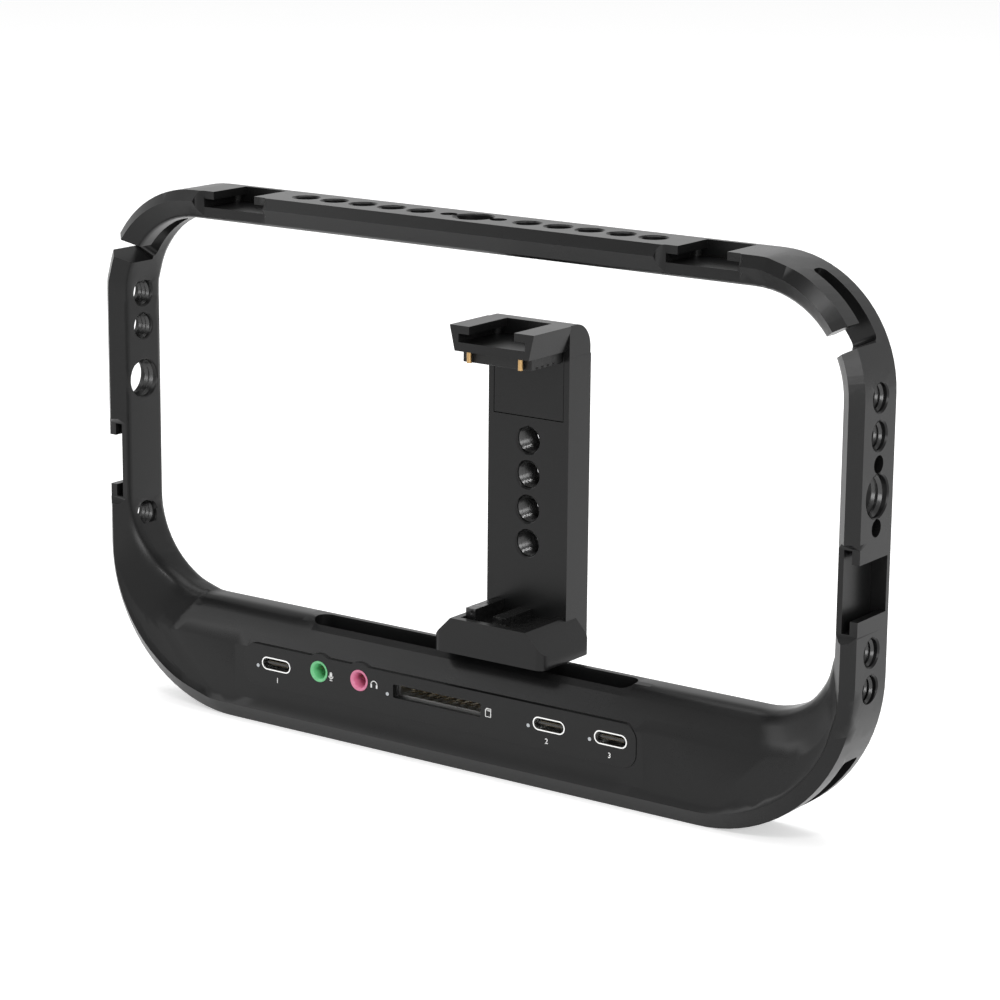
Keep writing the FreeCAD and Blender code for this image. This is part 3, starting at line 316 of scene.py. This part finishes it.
@dataclass(frozen=True)
class NodeDress:
    """How one CAD node is shown: as a smooth-shaded, lightly edged copy of its solid.

    The grid is the X and the Z range, in millimetres, where straight runs are divided.
    """

    node: str
    body: Body
    finish: Finish
    slot: str
    smooth_deg: float = 32.0
    edge_mm: float = 0.0
    grid: tuple[tuple[float, float], tuple[float, float]] | None = None
    squash_to: float = 0.0

    def divide(self, bm: bmesh.types.BMesh) -> None:
        """Divides the straight runs at an even pitch along X and Z, so that shading stays local.

        Args:
            bm: The mesh, in metres.
        """
        for axis, (low, high) in zip((Vector((1.0, 0.0, 0.0)), Vector((0.0, 0.0, 1.0))), self.grid):
            count = int((high - low) / GRID_PITCH)
            for i in range(count + 1):
                bmesh.ops.bisect_plane(bm, geom=bm.verts[:] + bm.edges[:] + bm.faces[:],
                                       plane_co=axis * (low + (high - low) * i / count) * MM,
                                       plane_no=axis, dist=GRID_SNAP * MM)

    def build(self, nodes: dict[str, bpy.types.Object]) -> bpy.types.Object:
        """Makes the copy and lets it stand for the node.

        Args:
            nodes: The CAD nodes by name.

        Returns:
            The new piece.
        """
        source = nodes[self.node]
        mesh = source.data.copy()
        mesh.name = self.node + "_shown"
        mesh.materials.clear()
        mesh.materials.append(self.finish.build())
        bm = bmesh.new()
        bm.from_mesh(mesh)
        bmesh.ops.remove_doubles(bm, verts=bm.verts, dist=WELD_REACH)
        bmesh.ops.dissolve_limit(bm, angle_limit=math.radians(FLAT_DEG), verts=bm.verts,
                                 edges=bm.edges)
        if self.grid is not None:
            self.divide(bm)
        bm.to_mesh(mesh)
        bm.free()
        piece = link(bpy.data.objects.new(self.node + "_shown", mesh))
        smooth_by_angle(piece, self.smooth_deg)
        if self.edge_mm > 0.0:
            bevel = piece.modifiers.new("edge", "BEVEL")
            bevel.width = self.edge_mm * MM
            bevel.segments = EDGE_STEPS
            bevel.limit_method = "ANGLE"
            bevel.angle_limit = math.radians(EDGE_DEG)
            bevel.use_clamp_overlap = True
            bevel.harden_normals = True
        if self.grid is not None:
            weighted = piece.modifiers.new("even", "WEIGHTED_NORMAL")
            weighted.mode = "FACE_AREA_WITH_ANGLE"
            weighted.keep_sharp = True
        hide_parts(self.node)
        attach(piece, self.body.value)
        if self.squash_to > 0.0:
            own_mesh(piece)
        LOG.info("dressed %s with %d faces", self.node, len(mesh.polygons))
        return piece


def start_tree(name: str, inputs: dict[str, str]) -> tuple[bpy.types.NodeTree, bpy.types.Node]:
    """Starts a geometry node tree with a geometry input, named inputs and a geometry output.

    Args:
        name: The tree's name.
        inputs: The kinds of the named inputs.

    Returns:
        The tree and its input node.
    """
    tree = bpy.data.node_groups.new(name, "GeometryNodeTree")
    tree.interface.new_socket("Geometry", in_out="INPUT", socket_type="NodeSocketGeometry")
    for label, kind in inputs.items():
        tree.interface.new_socket(label, in_out="INPUT", socket_type="NodeSocket" + kind)
    tree.interface.new_socket("Geometry", in_out="OUTPUT", socket_type="NodeSocketGeometry")
    return tree, tree.nodes.new("NodeGroupInput")


def close_tree(tree: bpy.types.NodeTree, entry: bpy.types.Node,
               instances: bpy.types.NodeSocket) -> None:
    """Realizes a tree's instances, gives them the material and leads them out.

    Args:
        tree: The tree.
        entry: Its input node, which has a Finish input.
        instances: The instances.
    """
    real = tree.nodes.new("GeometryNodeRealizeInstances")
    tree.links.new(instances, real.inputs["Geometry"])
    paint = tree.nodes.new("GeometryNodeSetMaterial")
    tree.links.new(real.outputs["Geometry"], paint.inputs["Geometry"])
    tree.links.new(entry.outputs["Finish"], paint.inputs["Material"])
    leave = tree.nodes.new("NodeGroupOutput")
    tree.links.new(paint.outputs["Geometry"], leave.inputs["Geometry"])


@dataclass(frozen=True)
class Thread:
    """A thread's sizes in millimetres: its outer radius, its ridge's half width, its pitch."""

    radius: float
    ridge: float
    pitch: float


QUARTER_THREAD = Thread(3.175, 0.52, 1.27)
BIG_THREAD = Thread(4.7625, 0.66, 1.5875)


@dataclass(frozen=True)
class Hole:
    """One tapped hole: the middle of its mouth and the direction into the metal, in millimetres."""

    mouth: Point
    into: Point
    length: float


@dataclass
class ThreadSet:
    """Tapped holes of one size on one body, with helical ridges made by a node tree."""

    name: str
    body: Body
    holes: list[Hole]
    thread: Thread

    def tree(self) -> bpy.types.NodeTree:
        """Builds the node tree that winds a ridge and puts it in each hole.

        Returns:
            The tree, with Radius, Depth, Pitch, Length and Finish inputs.
        """
        tree, entry = start_tree(self.name + "_tree", {
            "Radius": "Float", "Depth": "Float", "Pitch": "Float", "Length": "Float",
            "Finish": "Material"})
        nodes, links = tree.nodes, tree.links
        turns = maths(tree, "DIVIDE", entry.outputs["Length"], entry.outputs["Pitch"])
        spiral = nodes.new("GeometryNodeCurveSpiral")
        spiral.inputs["Resolution"].default_value = RIDGE_STEPS_PER_TURN
        links.new(turns, spiral.inputs["Rotations"])
        links.new(entry.outputs["Radius"], spiral.inputs["Start Radius"])
        links.new(entry.outputs["Radius"], spiral.inputs["End Radius"])
        links.new(entry.outputs["Length"], spiral.inputs["Height"])
        upright = nodes.new("GeometryNodeSetCurveNormal")
        upright.mode = "Z_UP"
        links.new(spiral.outputs["Curve"], upright.inputs["Curve"])
        ridge = nodes.new("GeometryNodeCurvePrimitiveCircle")
        ridge.inputs["Resolution"].default_value = RIDGE_SIDES
        links.new(entry.outputs["Depth"], ridge.inputs["Radius"])
        sweep = nodes.new("GeometryNodeCurveToMesh")
        sweep.inputs["Fill Caps"].default_value = True
        links.new(upright.outputs["Curve"], sweep.inputs["Curve"])
        links.new(ridge.outputs["Curve"], sweep.inputs["Profile Curve"])
        into = nodes.new("GeometryNodeInputNamedAttribute")
        into.data_type = "FLOAT_VECTOR"
        into.inputs["Name"].default_value = "into"
        turn = nodes.new("FunctionNodeAlignRotationToVector")
        turn.axis = "Z"
        links.new(into.outputs["Attribute"], turn.inputs["Vector"])
        points = nodes.new("GeometryNodeInstanceOnPoints")
        links.new(entry.outputs["Geometry"], points.inputs["Points"])
        links.new(sweep.outputs["Mesh"], points.inputs["Instance"])
        links.new(turn.outputs["Rotation"], points.inputs["Rotation"])
        close_tree(tree, entry, points.outputs["Instances"])
        return tree

    def build(self) -> bpy.types.Object:
        """Winds the ridges and returns them as one plain piece."""
        mesh = bpy.data.meshes.new(self.name)
        mesh.from_pydata([[v * MM for v in hole.mouth] for hole in self.holes], [], [])
        into = mesh.attributes.new("into", "FLOAT_VECTOR", "POINT")
        into.data.foreach_set("vector", [v for hole in self.holes for v in hole.into])
        values = {"Radius": self.thread.radius * MM, "Depth": self.thread.ridge * MM,
                  "Pitch": self.thread.pitch * MM, "Length": self.holes[0].length * MM,
                  "Finish": THREAD_METAL.build()}
        piece = plain_from_nodes(self.name, mesh, self.tree(), values)
        smooth_by_angle(piece, THREAD_SMOOTH_DEG)
        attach(piece, self.body.value)
        LOG.info("cut %d threads on %s", len(self.holes), self.body.value)
        return piece


def plain_from_nodes(name: str, mesh: bpy.types.Mesh, tree: bpy.types.NodeTree,
                     values: dict[str, object]) -> bpy.types.Object:
    """Runs a node tree on a mesh and returns its result as a plain mesh object.

    Args:
        name: The piece's name.
        mesh: The mesh that the tree starts from.
        tree: The tree.
        values: The tree's inputs by name.

    Returns:
        The finished object, with no modifier.
    """
    seed = link(bpy.data.objects.new(name + "_seed", mesh))
    modifier = seed.modifiers.new("make", "NODES")
    modifier.node_group = tree
    for item in tree.interface.items_tree:
        if item.item_type == "SOCKET" and item.in_out == "INPUT" and item.name in values:
            modifier[item.identifier] = values[item.name]
    graph = bpy.context.evaluated_depsgraph_get()
    result = bpy.data.meshes.new_from_object(seed.evaluated_get(graph), depsgraph=graph)
    seed.modifiers.remove(modifier)
    bpy.data.objects.remove(seed)
    result.name = name
    for attribute in [a for a in result.attributes if a.name == "into"]:
        result.attributes.remove(attribute)
    return link(bpy.data.objects.new(name, result))


@dataclass
class Ring:
    """The ring frame's tapped holes, in millimetres."""

    half_width: float = 107.0
    height: float = 130.4
    top_thick: float = 7.0
    side_thick: float = 5.8
    quarter_x: tuple[float, ...] = (15.0, 23.5, 32.0, 40.5, 49.0)
    side_quarter_z: tuple[float, ...] = (101.9, 93.5, 45.5, 37.1)
    side_big_z: float = 80.3
    quarter_lead: float = 0.80
    big_lead: float = 0.95

    def quarter_holes(self) -> list[list[Hole]]:
        """Lists the 1/4-inch holes, those of the top bar and those of the sides."""
        top = [Hole((side * x, 0.0, self.height - self.quarter_lead), (0.0, 0.0, -1.0),
                    self.top_thick - 2 * self.quarter_lead)
               for side in (-1, 1) for x in self.quarter_x]
        sides = [Hole((side * (self.half_width - self.quarter_lead), 0.0, z), (-side, 0.0, 0.0),
                      self.side_thick - 2 * self.quarter_lead)
                 for side in (-1, 1) for z in self.side_quarter_z]
        return [top, sides]

    def big_holes(self) -> list[list[Hole]]:
        """Lists the 3/8-inch holes, that of the top bar and those of the sides."""
        top = [Hole((0.0, 0.0, self.height - self.big_lead), (0.0, 0.0, -1.0),
                    self.top_thick - 2 * self.big_lead)]
        sides = [Hole((side * (self.half_width - self.big_lead), 0.0, self.side_big_z),
                      (-side, 0.0, 0.0), self.side_thick - 2 * self.big_lead) for side in (-1, 1)]
        return [top, sides]

    def build(self) -> None:
        """Winds the threads of all the ring's tapped holes."""
        for word, holes in zip(("top", "side"), self.quarter_holes()):
            ThreadSet(f"{word}_quarter_threads", Body.CAGE, holes, QUARTER_THREAD).build()
        for word, holes in zip(("top", "side"), self.big_holes()):
            ThreadSet(f"{word}_big_threads", Body.CAGE, holes, BIG_THREAD).build()


@dataclass
class Clamp:
    """The phone clamp's tapped holes, in millimetres."""

    middle_x: float = 9.4
    front_y: float = 9.3
    depth: float = 8.9
    hole_z: tuple[float, ...] = (77.7, 69.4, 61.1, 52.8)
    lead: float = 0.80

    def build(self) -> None:
        """Winds the threads of the clamp body."""
        holes = [Hole((self.middle_x, self.front_y + self.lead, z), (0.0, 1.0, 0.0),
                      self.depth - 2 * self.lead) for z in self.hole_z]
        ThreadSet("clamp_threads", Body.CLAMP, holes, QUARTER_THREAD).build()


@dataclass
class PortMarks:
    """White marks beside the ports: numerals for the USB sockets and generic pictograms."""

    face_y: float = -8.0
    raise_mm: float = 0.03
    sink_mm: float = 0.05
    stroke: float = 0.20
    microphone_at: tuple[float, float] = (-35.7, 16.2)
    headphones_at: tuple[float, float] = (-22.6, 16.5)
    card_at: tuple[float, float] = (11.0, 15.9)
    numeral_height: float = 1.3
    numerals: tuple[tuple[str, float, float], ...] = (
        ("1", -52.4, 12.1), ("2", 27.6, 12.1), ("3", 45.0, 12.1))

    def ribbon(self, bm: bmesh.types.BMesh, points: list[tuple[float, float]], width: float,
               closed: bool = False) -> None:
        """Lays a flat ribbon along (x, z) points on the panel's face.

        Args:
            bm: The mesh that takes it.
            points: The ribbon's middle line in millimetres.
            width: Its width in millimetres.
            closed: Whether its ends join.
        """
        count = len(points)
        rails: list[tuple[bmesh.types.BMVert, ...]] = []
        for i, (x, z) in enumerate(points):
            before = points[(i - 1) % count] if closed or i > 0 else points[i]
            after = points[(i + 1) % count] if closed or i < count - 1 else points[i]
            dx, dz = after[0] - before[0], after[1] - before[1]
            reach = math.hypot(dx, dz) or 1.0
            nx, nz = -dz / reach * width / 2, dx / reach * width / 2
            front, back = self.face_y - self.raise_mm, self.face_y + self.sink_mm
            rails.append(tuple(
                bm.verts.new(((x + sign * nx) * MM, y * MM, (z + sign * nz) * MM))
                for sign, y in ((1, front), (-1, front), (-1, back), (1, back))))
        last = count if closed else count - 1
        for i in range(last):
            a, b = rails[i], rails[(i + 1) % count]
            for k in range(4):
                bm.faces.new((a[k], a[(k + 1) % 4], b[(k + 1) % 4], b[k]))
        if not closed:
            bm.faces.new(rails[0])
            bm.faces.new(rails[-1])

    def arc(self, x: float, z: float, r: float, start: float, end: float,
            steps: int = 14) -> list[tuple[float, float]]:
        """Points of an arc in x and z, from one angle to another in degrees."""
        return [(x + r * math.cos(math.radians(start + (end - start) * i / steps)),
                 z + r * math.sin(math.radians(start + (end - start) * i / steps)))
                for i in range(steps + 1)]

    def microphone(self, bm: bmesh.types.BMesh, x: float, z: float) -> None:
        """Draws a microphone: a capsule in a bracket on a foot."""
        capsule = self.arc(x, z + 0.70, 0.26, 0, 180) + self.arc(x, z + 0.15, 0.26, 180, 360)
        self.ribbon(bm, capsule, self.stroke, closed=True)
        self.ribbon(bm, [(x, z + 0.15), (x, z + 0.70)], 0.28)
        self.ribbon(bm, self.arc(x, z + 0.1, 0.62, 180, 360), self.stroke)
        self.ribbon(bm, [(x, z - 0.52), (x, z - 1.0)], self.stroke)
        self.ribbon(bm, [(x - 0.42, z - 1.0), (x + 0.42, z - 1.0)], self.stroke)

    def headphones(self, bm: bmesh.types.BMesh, x: float, z: float) -> None:
        """Draws headphones: a band and two cups."""
        self.ribbon(bm, self.arc(x, z, 0.9, 0, 180, 20), self.stroke)
        for side in (-1, 1):
            self.ribbon(bm, [(x + side * 0.82, z + 0.05), (x + side * 0.82, z - 0.8)], 0.45)

    def card(self, bm: bmesh.types.BMesh, x: float, z: float) -> None:
        """Draws a memory card: an outline with a cut corner and contact bars."""
        outline = [(x - 0.75, z - 1.0), (x + 0.75, z - 1.0), (x + 0.75, z + 1.0), (x - 0.35, z + 1.0),
                   (x - 0.75, z + 0.6)]
        self.ribbon(bm, outline, 0.24, closed=True)
        for shift in (-0.27, 0.08, 0.43):
            self.ribbon(bm, [(x + shift, z + 0.35), (x + shift, z + 0.8)], 0.15)

    def numeral_meshes(self) -> list[bpy.types.Mesh]:
        """Makes the numerals as flat meshes standing on the panel's face."""
        meshes = []
        for text, x, z in self.numerals:
            curve = bpy.data.curves.new("numeral", "FONT")
            curve.body = text
            curve.size = self.numeral_height * 1.38 * MM
            curve.align_x = "CENTER"
            curve.align_y = "CENTER"
            curve.extrude = self.raise_mm * MM
            curve.offset = 0.02 * MM
            holder = link(bpy.data.objects.new("numeral", curve))
            graph = bpy.context.evaluated_depsgraph_get()
            mesh = bpy.data.meshes.new_from_object(holder.evaluated_get(graph))
            place = Matrix.Translation((x * MM, self.face_y * MM, z * MM))
            mesh.transform(place @ Matrix.Rotation(math.radians(90.0), 4, "X"))
            bpy.data.objects.remove(holder)
            meshes.append(mesh)
        return meshes

    def build(self) -> bpy.types.Object:
        """Draws all the marks as one piece on the port panel."""
        bm = bmesh.new()
        self.microphone(bm, *self.microphone_at)
        self.headphones(bm, *self.headphones_at)
        self.card(bm, *self.card_at)
        for mesh in self.numeral_meshes():
            bm.from_mesh(mesh)
        piece = mesh_object("port_marks", bm, MARK_PAINT)
        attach(piece, Body.CAGE.value)
        return piece


@dataclass
class UsbPads:
    """Rows of gold pads on both faces of each USB tongue, repeated by a node tree."""

    middles_x: tuple[float, ...] = (-52.8, 28.15, 45.2)
    z: float = 16.0
    half_thick: float = 0.35
    front_y: float = -7.0
    length: float = 2.6
    pitch: float = 0.5
    count: int = 12
    width: float = 0.26
    thick: float = 0.04

    def tree(self) -> bpy.types.NodeTree:
        """Builds the tree that repeats one pad along x from each start point.

        Returns:
            The tree, with Count, Pitch, Pad Size and Finish inputs.
        """
        tree, entry = start_tree("pad_row_tree", {
            "Count": "Int", "Pitch": "Float", "Pad Size": "Vector", "Finish": "Material"})
        nodes, links = tree.nodes, tree.links
        step = nodes.new("ShaderNodeCombineXYZ")
        links.new(entry.outputs["Pitch"], step.inputs["X"])
        row = nodes.new("GeometryNodeMeshLine")
        links.new(entry.outputs["Count"], row.inputs["Count"])
        links.new(step.outputs["Vector"], row.inputs["Offset"])
        rows = nodes.new("GeometryNodeInstanceOnPoints")
        links.new(entry.outputs["Geometry"], rows.inputs["Points"])
        links.new(row.outputs["Mesh"], rows.inputs["Instance"])
        places = nodes.new("GeometryNodeRealizeInstances")
        links.new(rows.outputs["Instances"], places.inputs["Geometry"])
        pad = nodes.new("GeometryNodeMeshCube")
        links.new(entry.outputs["Pad Size"], pad.inputs["Size"])
        pads = nodes.new("GeometryNodeInstanceOnPoints")
        links.new(places.outputs["Geometry"], pads.inputs["Points"])
        links.new(pad.outputs["Mesh"], pads.inputs["Instance"])
        close_tree(tree, entry, pads.outputs["Instances"])
        return tree

    def build(self) -> bpy.types.Object:
        """Lays the pads on the tongues of all the USB sockets."""
        start = -(self.count - 1) / 2 * self.pitch
        points = [((x + start) * MM, (self.front_y + self.length / 2) * MM,
                   (self.z + side * self.half_thick) * MM)
                  for x in self.middles_x for side in (-1, 1)]
        mesh = bpy.data.meshes.new("usb_pads")
        mesh.from_pydata(points, [], [])
        values = {"Count": self.count, "Pitch": self.pitch * MM, "Finish": GOLD_FLASH.build(),
                  "Pad Size": (self.width * MM, self.length * MM, self.thick * MM)}
        piece = plain_from_nodes("usb_pads", mesh, self.tree(), values)
        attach(piece, Body.CAGE.value)
        return piece


DRESSES: tuple[NodeDress, ...] = (
    NodeDress("cage_frame", Body.CAGE, ANODISED, "anodised_black", smooth_deg=24.0, edge_mm=0.20,
              grid=((-66.0, 66.0), (50.0, 100.0))),
    NodeDress("port_panel", Body.CAGE, PANEL_PLASTIC, "panel_black", edge_mm=0.10,
              grid=((-60.0, 50.0), (12.0, 20.0))),
    NodeDress("microphone_jack", Body.CAGE, GREEN_PLASTIC, "jack_green"),
    NodeDress("headphone_jack", Body.CAGE, PINK_PLASTIC, "jack_pink"),
    NodeDress("jack_contacts", Body.CAGE, GOLD_FLASH, "contact_gold"),
    NodeDress("card_socket", Body.CAGE, SOCKET_STEEL, "socket_steel"),
    NodeDress("card_contacts", Body.CAGE, GOLD_FLASH, "contact_gold"),
    NodeDress("light_pipes", Body.CAGE, LIGHT_PLASTIC, "light_white"),
    NodeDress("hub_board", Body.CAGE, BOARD_MASK, "board_green"),
    NodeDress("hub_chips", Body.CAGE, CHIP_PLASTIC, "chip_black"),
    NodeDress("shield_can", Body.CAGE, SOCKET_STEEL, "socket_steel"),
    NodeDress("thermal_pad", Body.CAGE, PAD_BLUE, "pad_blue"),
    NodeDress("channel_divider", Body.CAGE, SOCKET_STEEL, "socket_steel"),
    NodeDress("divider_screws", Body.CAGE, SCREW_STEEL, "screw_steel"),
    NodeDress("board_screws", Body.CAGE, SCREW_STEEL, "screw_steel"),
    NodeDress("bottom_cover", Body.CAGE, ANODISED, "anodised_black", edge_mm=0.15),
    NodeDress("cover_screws", Body.CAGE, SCREW_BLACK, "screw_black", edge_mm=0.08),
    NodeDress("usb_shell_1", Body.CAGE, USB_STEEL, "usb_steel"),
    NodeDress("usb_shell_2", Body.CAGE, USB_STEEL, "usb_steel"),
    NodeDress("usb_shell_3", Body.CAGE, USB_STEEL, "usb_steel"),
    NodeDress("usb_tongue_1", Body.CAGE, TONGUE_PLASTIC, "tongue_black"),
    NodeDress("usb_tongue_2", Body.CAGE, TONGUE_PLASTIC, "tongue_black"),
    NodeDress("usb_tongue_3", Body.CAGE, TONGUE_PLASTIC, "tongue_black"),
    NodeDress("clamp_body", Body.CLAMP, ANODISED, "anodised_black", edge_mm=0.20,
              grid=((-2.0, 20.8), (40.0, 96.0))),
    NodeDress("lower_jaw_pad", Body.CLAMP, RELIEF_RUBBER, "rubber_black", edge_mm=0.2),
    NodeDress("base_screws", Body.CLAMP, SCREW_BLACK, "screw_black"),
    NodeDress("slide_nut", Body.CLAMP, NUT_STEEL, "nut_steel"),
    NodeDress("guide_bushes", Body.CLAMP, BUSH_BRASS, "bush_brass"),
    NodeDress("return_springs", Body.CLAMP, SPRING_STEEL, "spring_steel", squash_to=0.698),
    NodeDress("guide_rods", Body.JAW, ROD_STEEL, "rod_steel"),
    NodeDress("rod_stops", Body.JAW, ROD_STEEL, "rod_steel"),
    NodeDress("slider_plate", Body.JAW, ANODISED, "anodised_black", edge_mm=0.12),
    NodeDress("upper_jaw", Body.JAW, ANODISED, "anodised_black", edge_mm=0.20,
              grid=((-2.0, 20.8), (100.0, 108.0))),
    NodeDress("upper_jaw_pad", Body.JAW, RUBBER, "rubber_black", edge_mm=0.2),
    NodeDress("pad_pins", Body.JAW, BUSH_BRASS, "bush_brass"),
)


@dataclass
class PhotoCamera:
    """The camera that took the photograph, as fitted to its straight edges and hole rows."""

    place: Point = (0.426045, -0.588195, 0.238965)
    right: Point = (0.813935, 0.5808878, 0.0088974)
    down: Point = (0.1432329, -0.1858073, -0.9720905)
    forward: Point = (-0.5630224, 0.7924929, -0.2344374)
    lens_mm: float = 115.171
    sensor_mm: float = 36.0
    nearest: float = 0.01
    farthest: float = 50.0

    def build(self) -> bpy.types.Object:
        """Makes the camera and hands it to the scene."""
        data = bpy.data.cameras.new("photo_camera")
        data.lens = self.lens_mm
        data.sensor_width = self.sensor_mm
        data.clip_start = self.nearest
        data.clip_end = self.farthest
        camera = link(bpy.data.objects.new("photo_camera", data))
        columns = Matrix((self.right, [-v for v in self.down], [-v for v in self.forward])).transposed()
        camera.matrix_world = Matrix.Translation(self.place) @ columns.to_4x4()
        bpy.context.scene.camera = camera
        return camera


@dataclass(frozen=True)
class Lamp:
    """One soft lamp: where it hangs, the point it faces and its size in metres, and its watts."""

    name: str
    place: Point
    aim: Point
    size: tuple[float, float]
    watts: float

    def build(self) -> None:
        """Hangs the lamp."""
        data = bpy.data.lights.new(self.name, "AREA")
        data.shape = "RECTANGLE"
        data.size, data.size_y = self.size
        data.energy = self.watts
        lamp = link(bpy.data.objects.new(self.name, data))
        lamp.location = self.place
        lamp.rotation_mode = "QUATERNION"
        turn = (Vector(self.aim) - Vector(self.place)).to_track_quat("-Z", "Y")
        lamp.rotation_quaternion = turn


LAMPS: tuple[Lamp, ...] = (
    Lamp("top_softbox", (-0.1, 0.2, 1.3), (0.0, 0.0, 0.05), (1.2, 1.0), 8.0),
    Lamp("left_strip", (-1.1, -0.7, 0.7), (0.0, 0.0, 0.06), (0.4, 1.2), 4.0),
    Lamp("right_fill", (0.95, -0.55, 0.34), (0.0, 0.0, 0.05), (0.5, 0.4), 4.0),
    Lamp("front_key", (0.39, -0.54, 0.78), (0.0, 0.0, 0.06), (0.12, 0.12), 1.5),
)


@dataclass
class Studio:
    """White floor and surroundings, which darken overhead, and the lamps."""

    floor_half: float = 6.0
    floor_drop: float = 0.0001
    floor_white: float = 0.86
    floor_roughness: float = 0.9
    seen_white: float = 1.0
    seen_dark: float = 0.38
    white_below: float = 0.5
    dark_above: float = 0.75
    room_level: float = 0.55
    floor_lift: float = 0.46

    def see_white(self, tree: bpy.types.NodeTree) -> bpy.types.NodeSocket:
        """Adds the test for camera, glossy and transmission rays.

        Args:
            tree: A material's or world's node tree.

        Returns:
            A value of 1 where any of the three holds.
        """
        path = tree.nodes.new("ShaderNodeLightPath")
        first = maths(tree, "MAXIMUM", path.outputs["Is Camera Ray"], path.outputs["Is Glossy Ray"])
        return maths(tree, "MAXIMUM", first, path.outputs["Is Transmission Ray"])

    def world(self) -> None:
        """Makes the white surroundings."""
        world = bpy.data.worlds.new("studio")
        world.use_nodes = True
        bpy.context.scene.world = world
        tree = world.node_tree
        back = tree.nodes["Background"]
        back.inputs["Color"].default_value = WHITE
        place = tree.nodes.new("ShaderNodeTexCoord")
        height = tree.nodes.new("ShaderNodeSeparateXYZ")
        tree.links.new(place.outputs["Object"], height.inputs["Vector"])
        seen = tree.nodes.new("ShaderNodeMapRange")
        seen.interpolation_type = "SMOOTHSTEP"
        seen.inputs["From Min"].default_value = self.white_below
        seen.inputs["From Max"].default_value = self.dark_above
        seen.inputs["To Min"].default_value = self.seen_white
        seen.inputs["To Max"].default_value = self.seen_dark
        tree.links.new(height.outputs["Z"], seen.inputs["Value"])
        level = tree.nodes.new("ShaderNodeMapRange")
        level.inputs["To Min"].default_value = self.room_level
        tree.links.new(seen.outputs["Result"], level.inputs["To Max"])
        tree.links.new(self.see_white(tree), level.inputs["Value"])
        tree.links.new(level.outputs["Result"], back.inputs["Strength"])

    def floor(self) -> None:
        """Makes the floor, which shows white and keeps the object's shadow."""
        half = self.floor_half
        mesh = bpy.data.meshes.new("floor")
        mesh.from_pydata([(-half, -half, 0.0), (half, -half, 0.0), (half, half, 0.0),
                          (-half, half, 0.0)], [], [(0, 1, 2, 3)])
        floor = link(bpy.data.objects.new("floor", mesh))
        floor.location.z = -self.floor_drop
        material = bpy.data.materials.new("floor_white")
        material.use_nodes = True
        tree = material.node_tree
        shader = tree.nodes["Principled BSDF"]
        shader.inputs["Base Color"].default_value = (*[self.floor_white] * 3, 1.0)
        shader.inputs["Roughness"].default_value = self.floor_roughness
        shader.inputs["Specular IOR Level"].default_value = 0.0
        shader.inputs["Emission Color"].default_value = WHITE
        lift = tree.nodes.new("ShaderNodeMapRange")
        lift.inputs["To Min"].default_value = 0.0
        lift.inputs["To Max"].default_value = self.floor_lift
        tree.links.new(self.see_white(tree), lift.inputs["Value"])
        tree.links.new(lift.outputs["Result"], shader.inputs["Emission Strength"])
        mesh.materials.append(material)

    def build(self) -> None:
        """Sets up the surroundings, the floor and the lamps."""
        self.world()
        self.floor()
        for lamp in LAMPS:
            lamp.build()


def main() -> None:
    """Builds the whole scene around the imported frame."""
    logging.basicConfig(level=logging.INFO, format="%(message)s")
    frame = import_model()
    bpy.context.scene.view_settings.view_transform = "Standard"
    PhotoCamera().build()
    for dress in DRESSES:
        dress.build(frame["nodes"])
    Ring().build()
    Clamp().build()
    UsbPads().build()
    PortMarks().build()
    Studio().build()


if __name__ == "__main__":
    main()
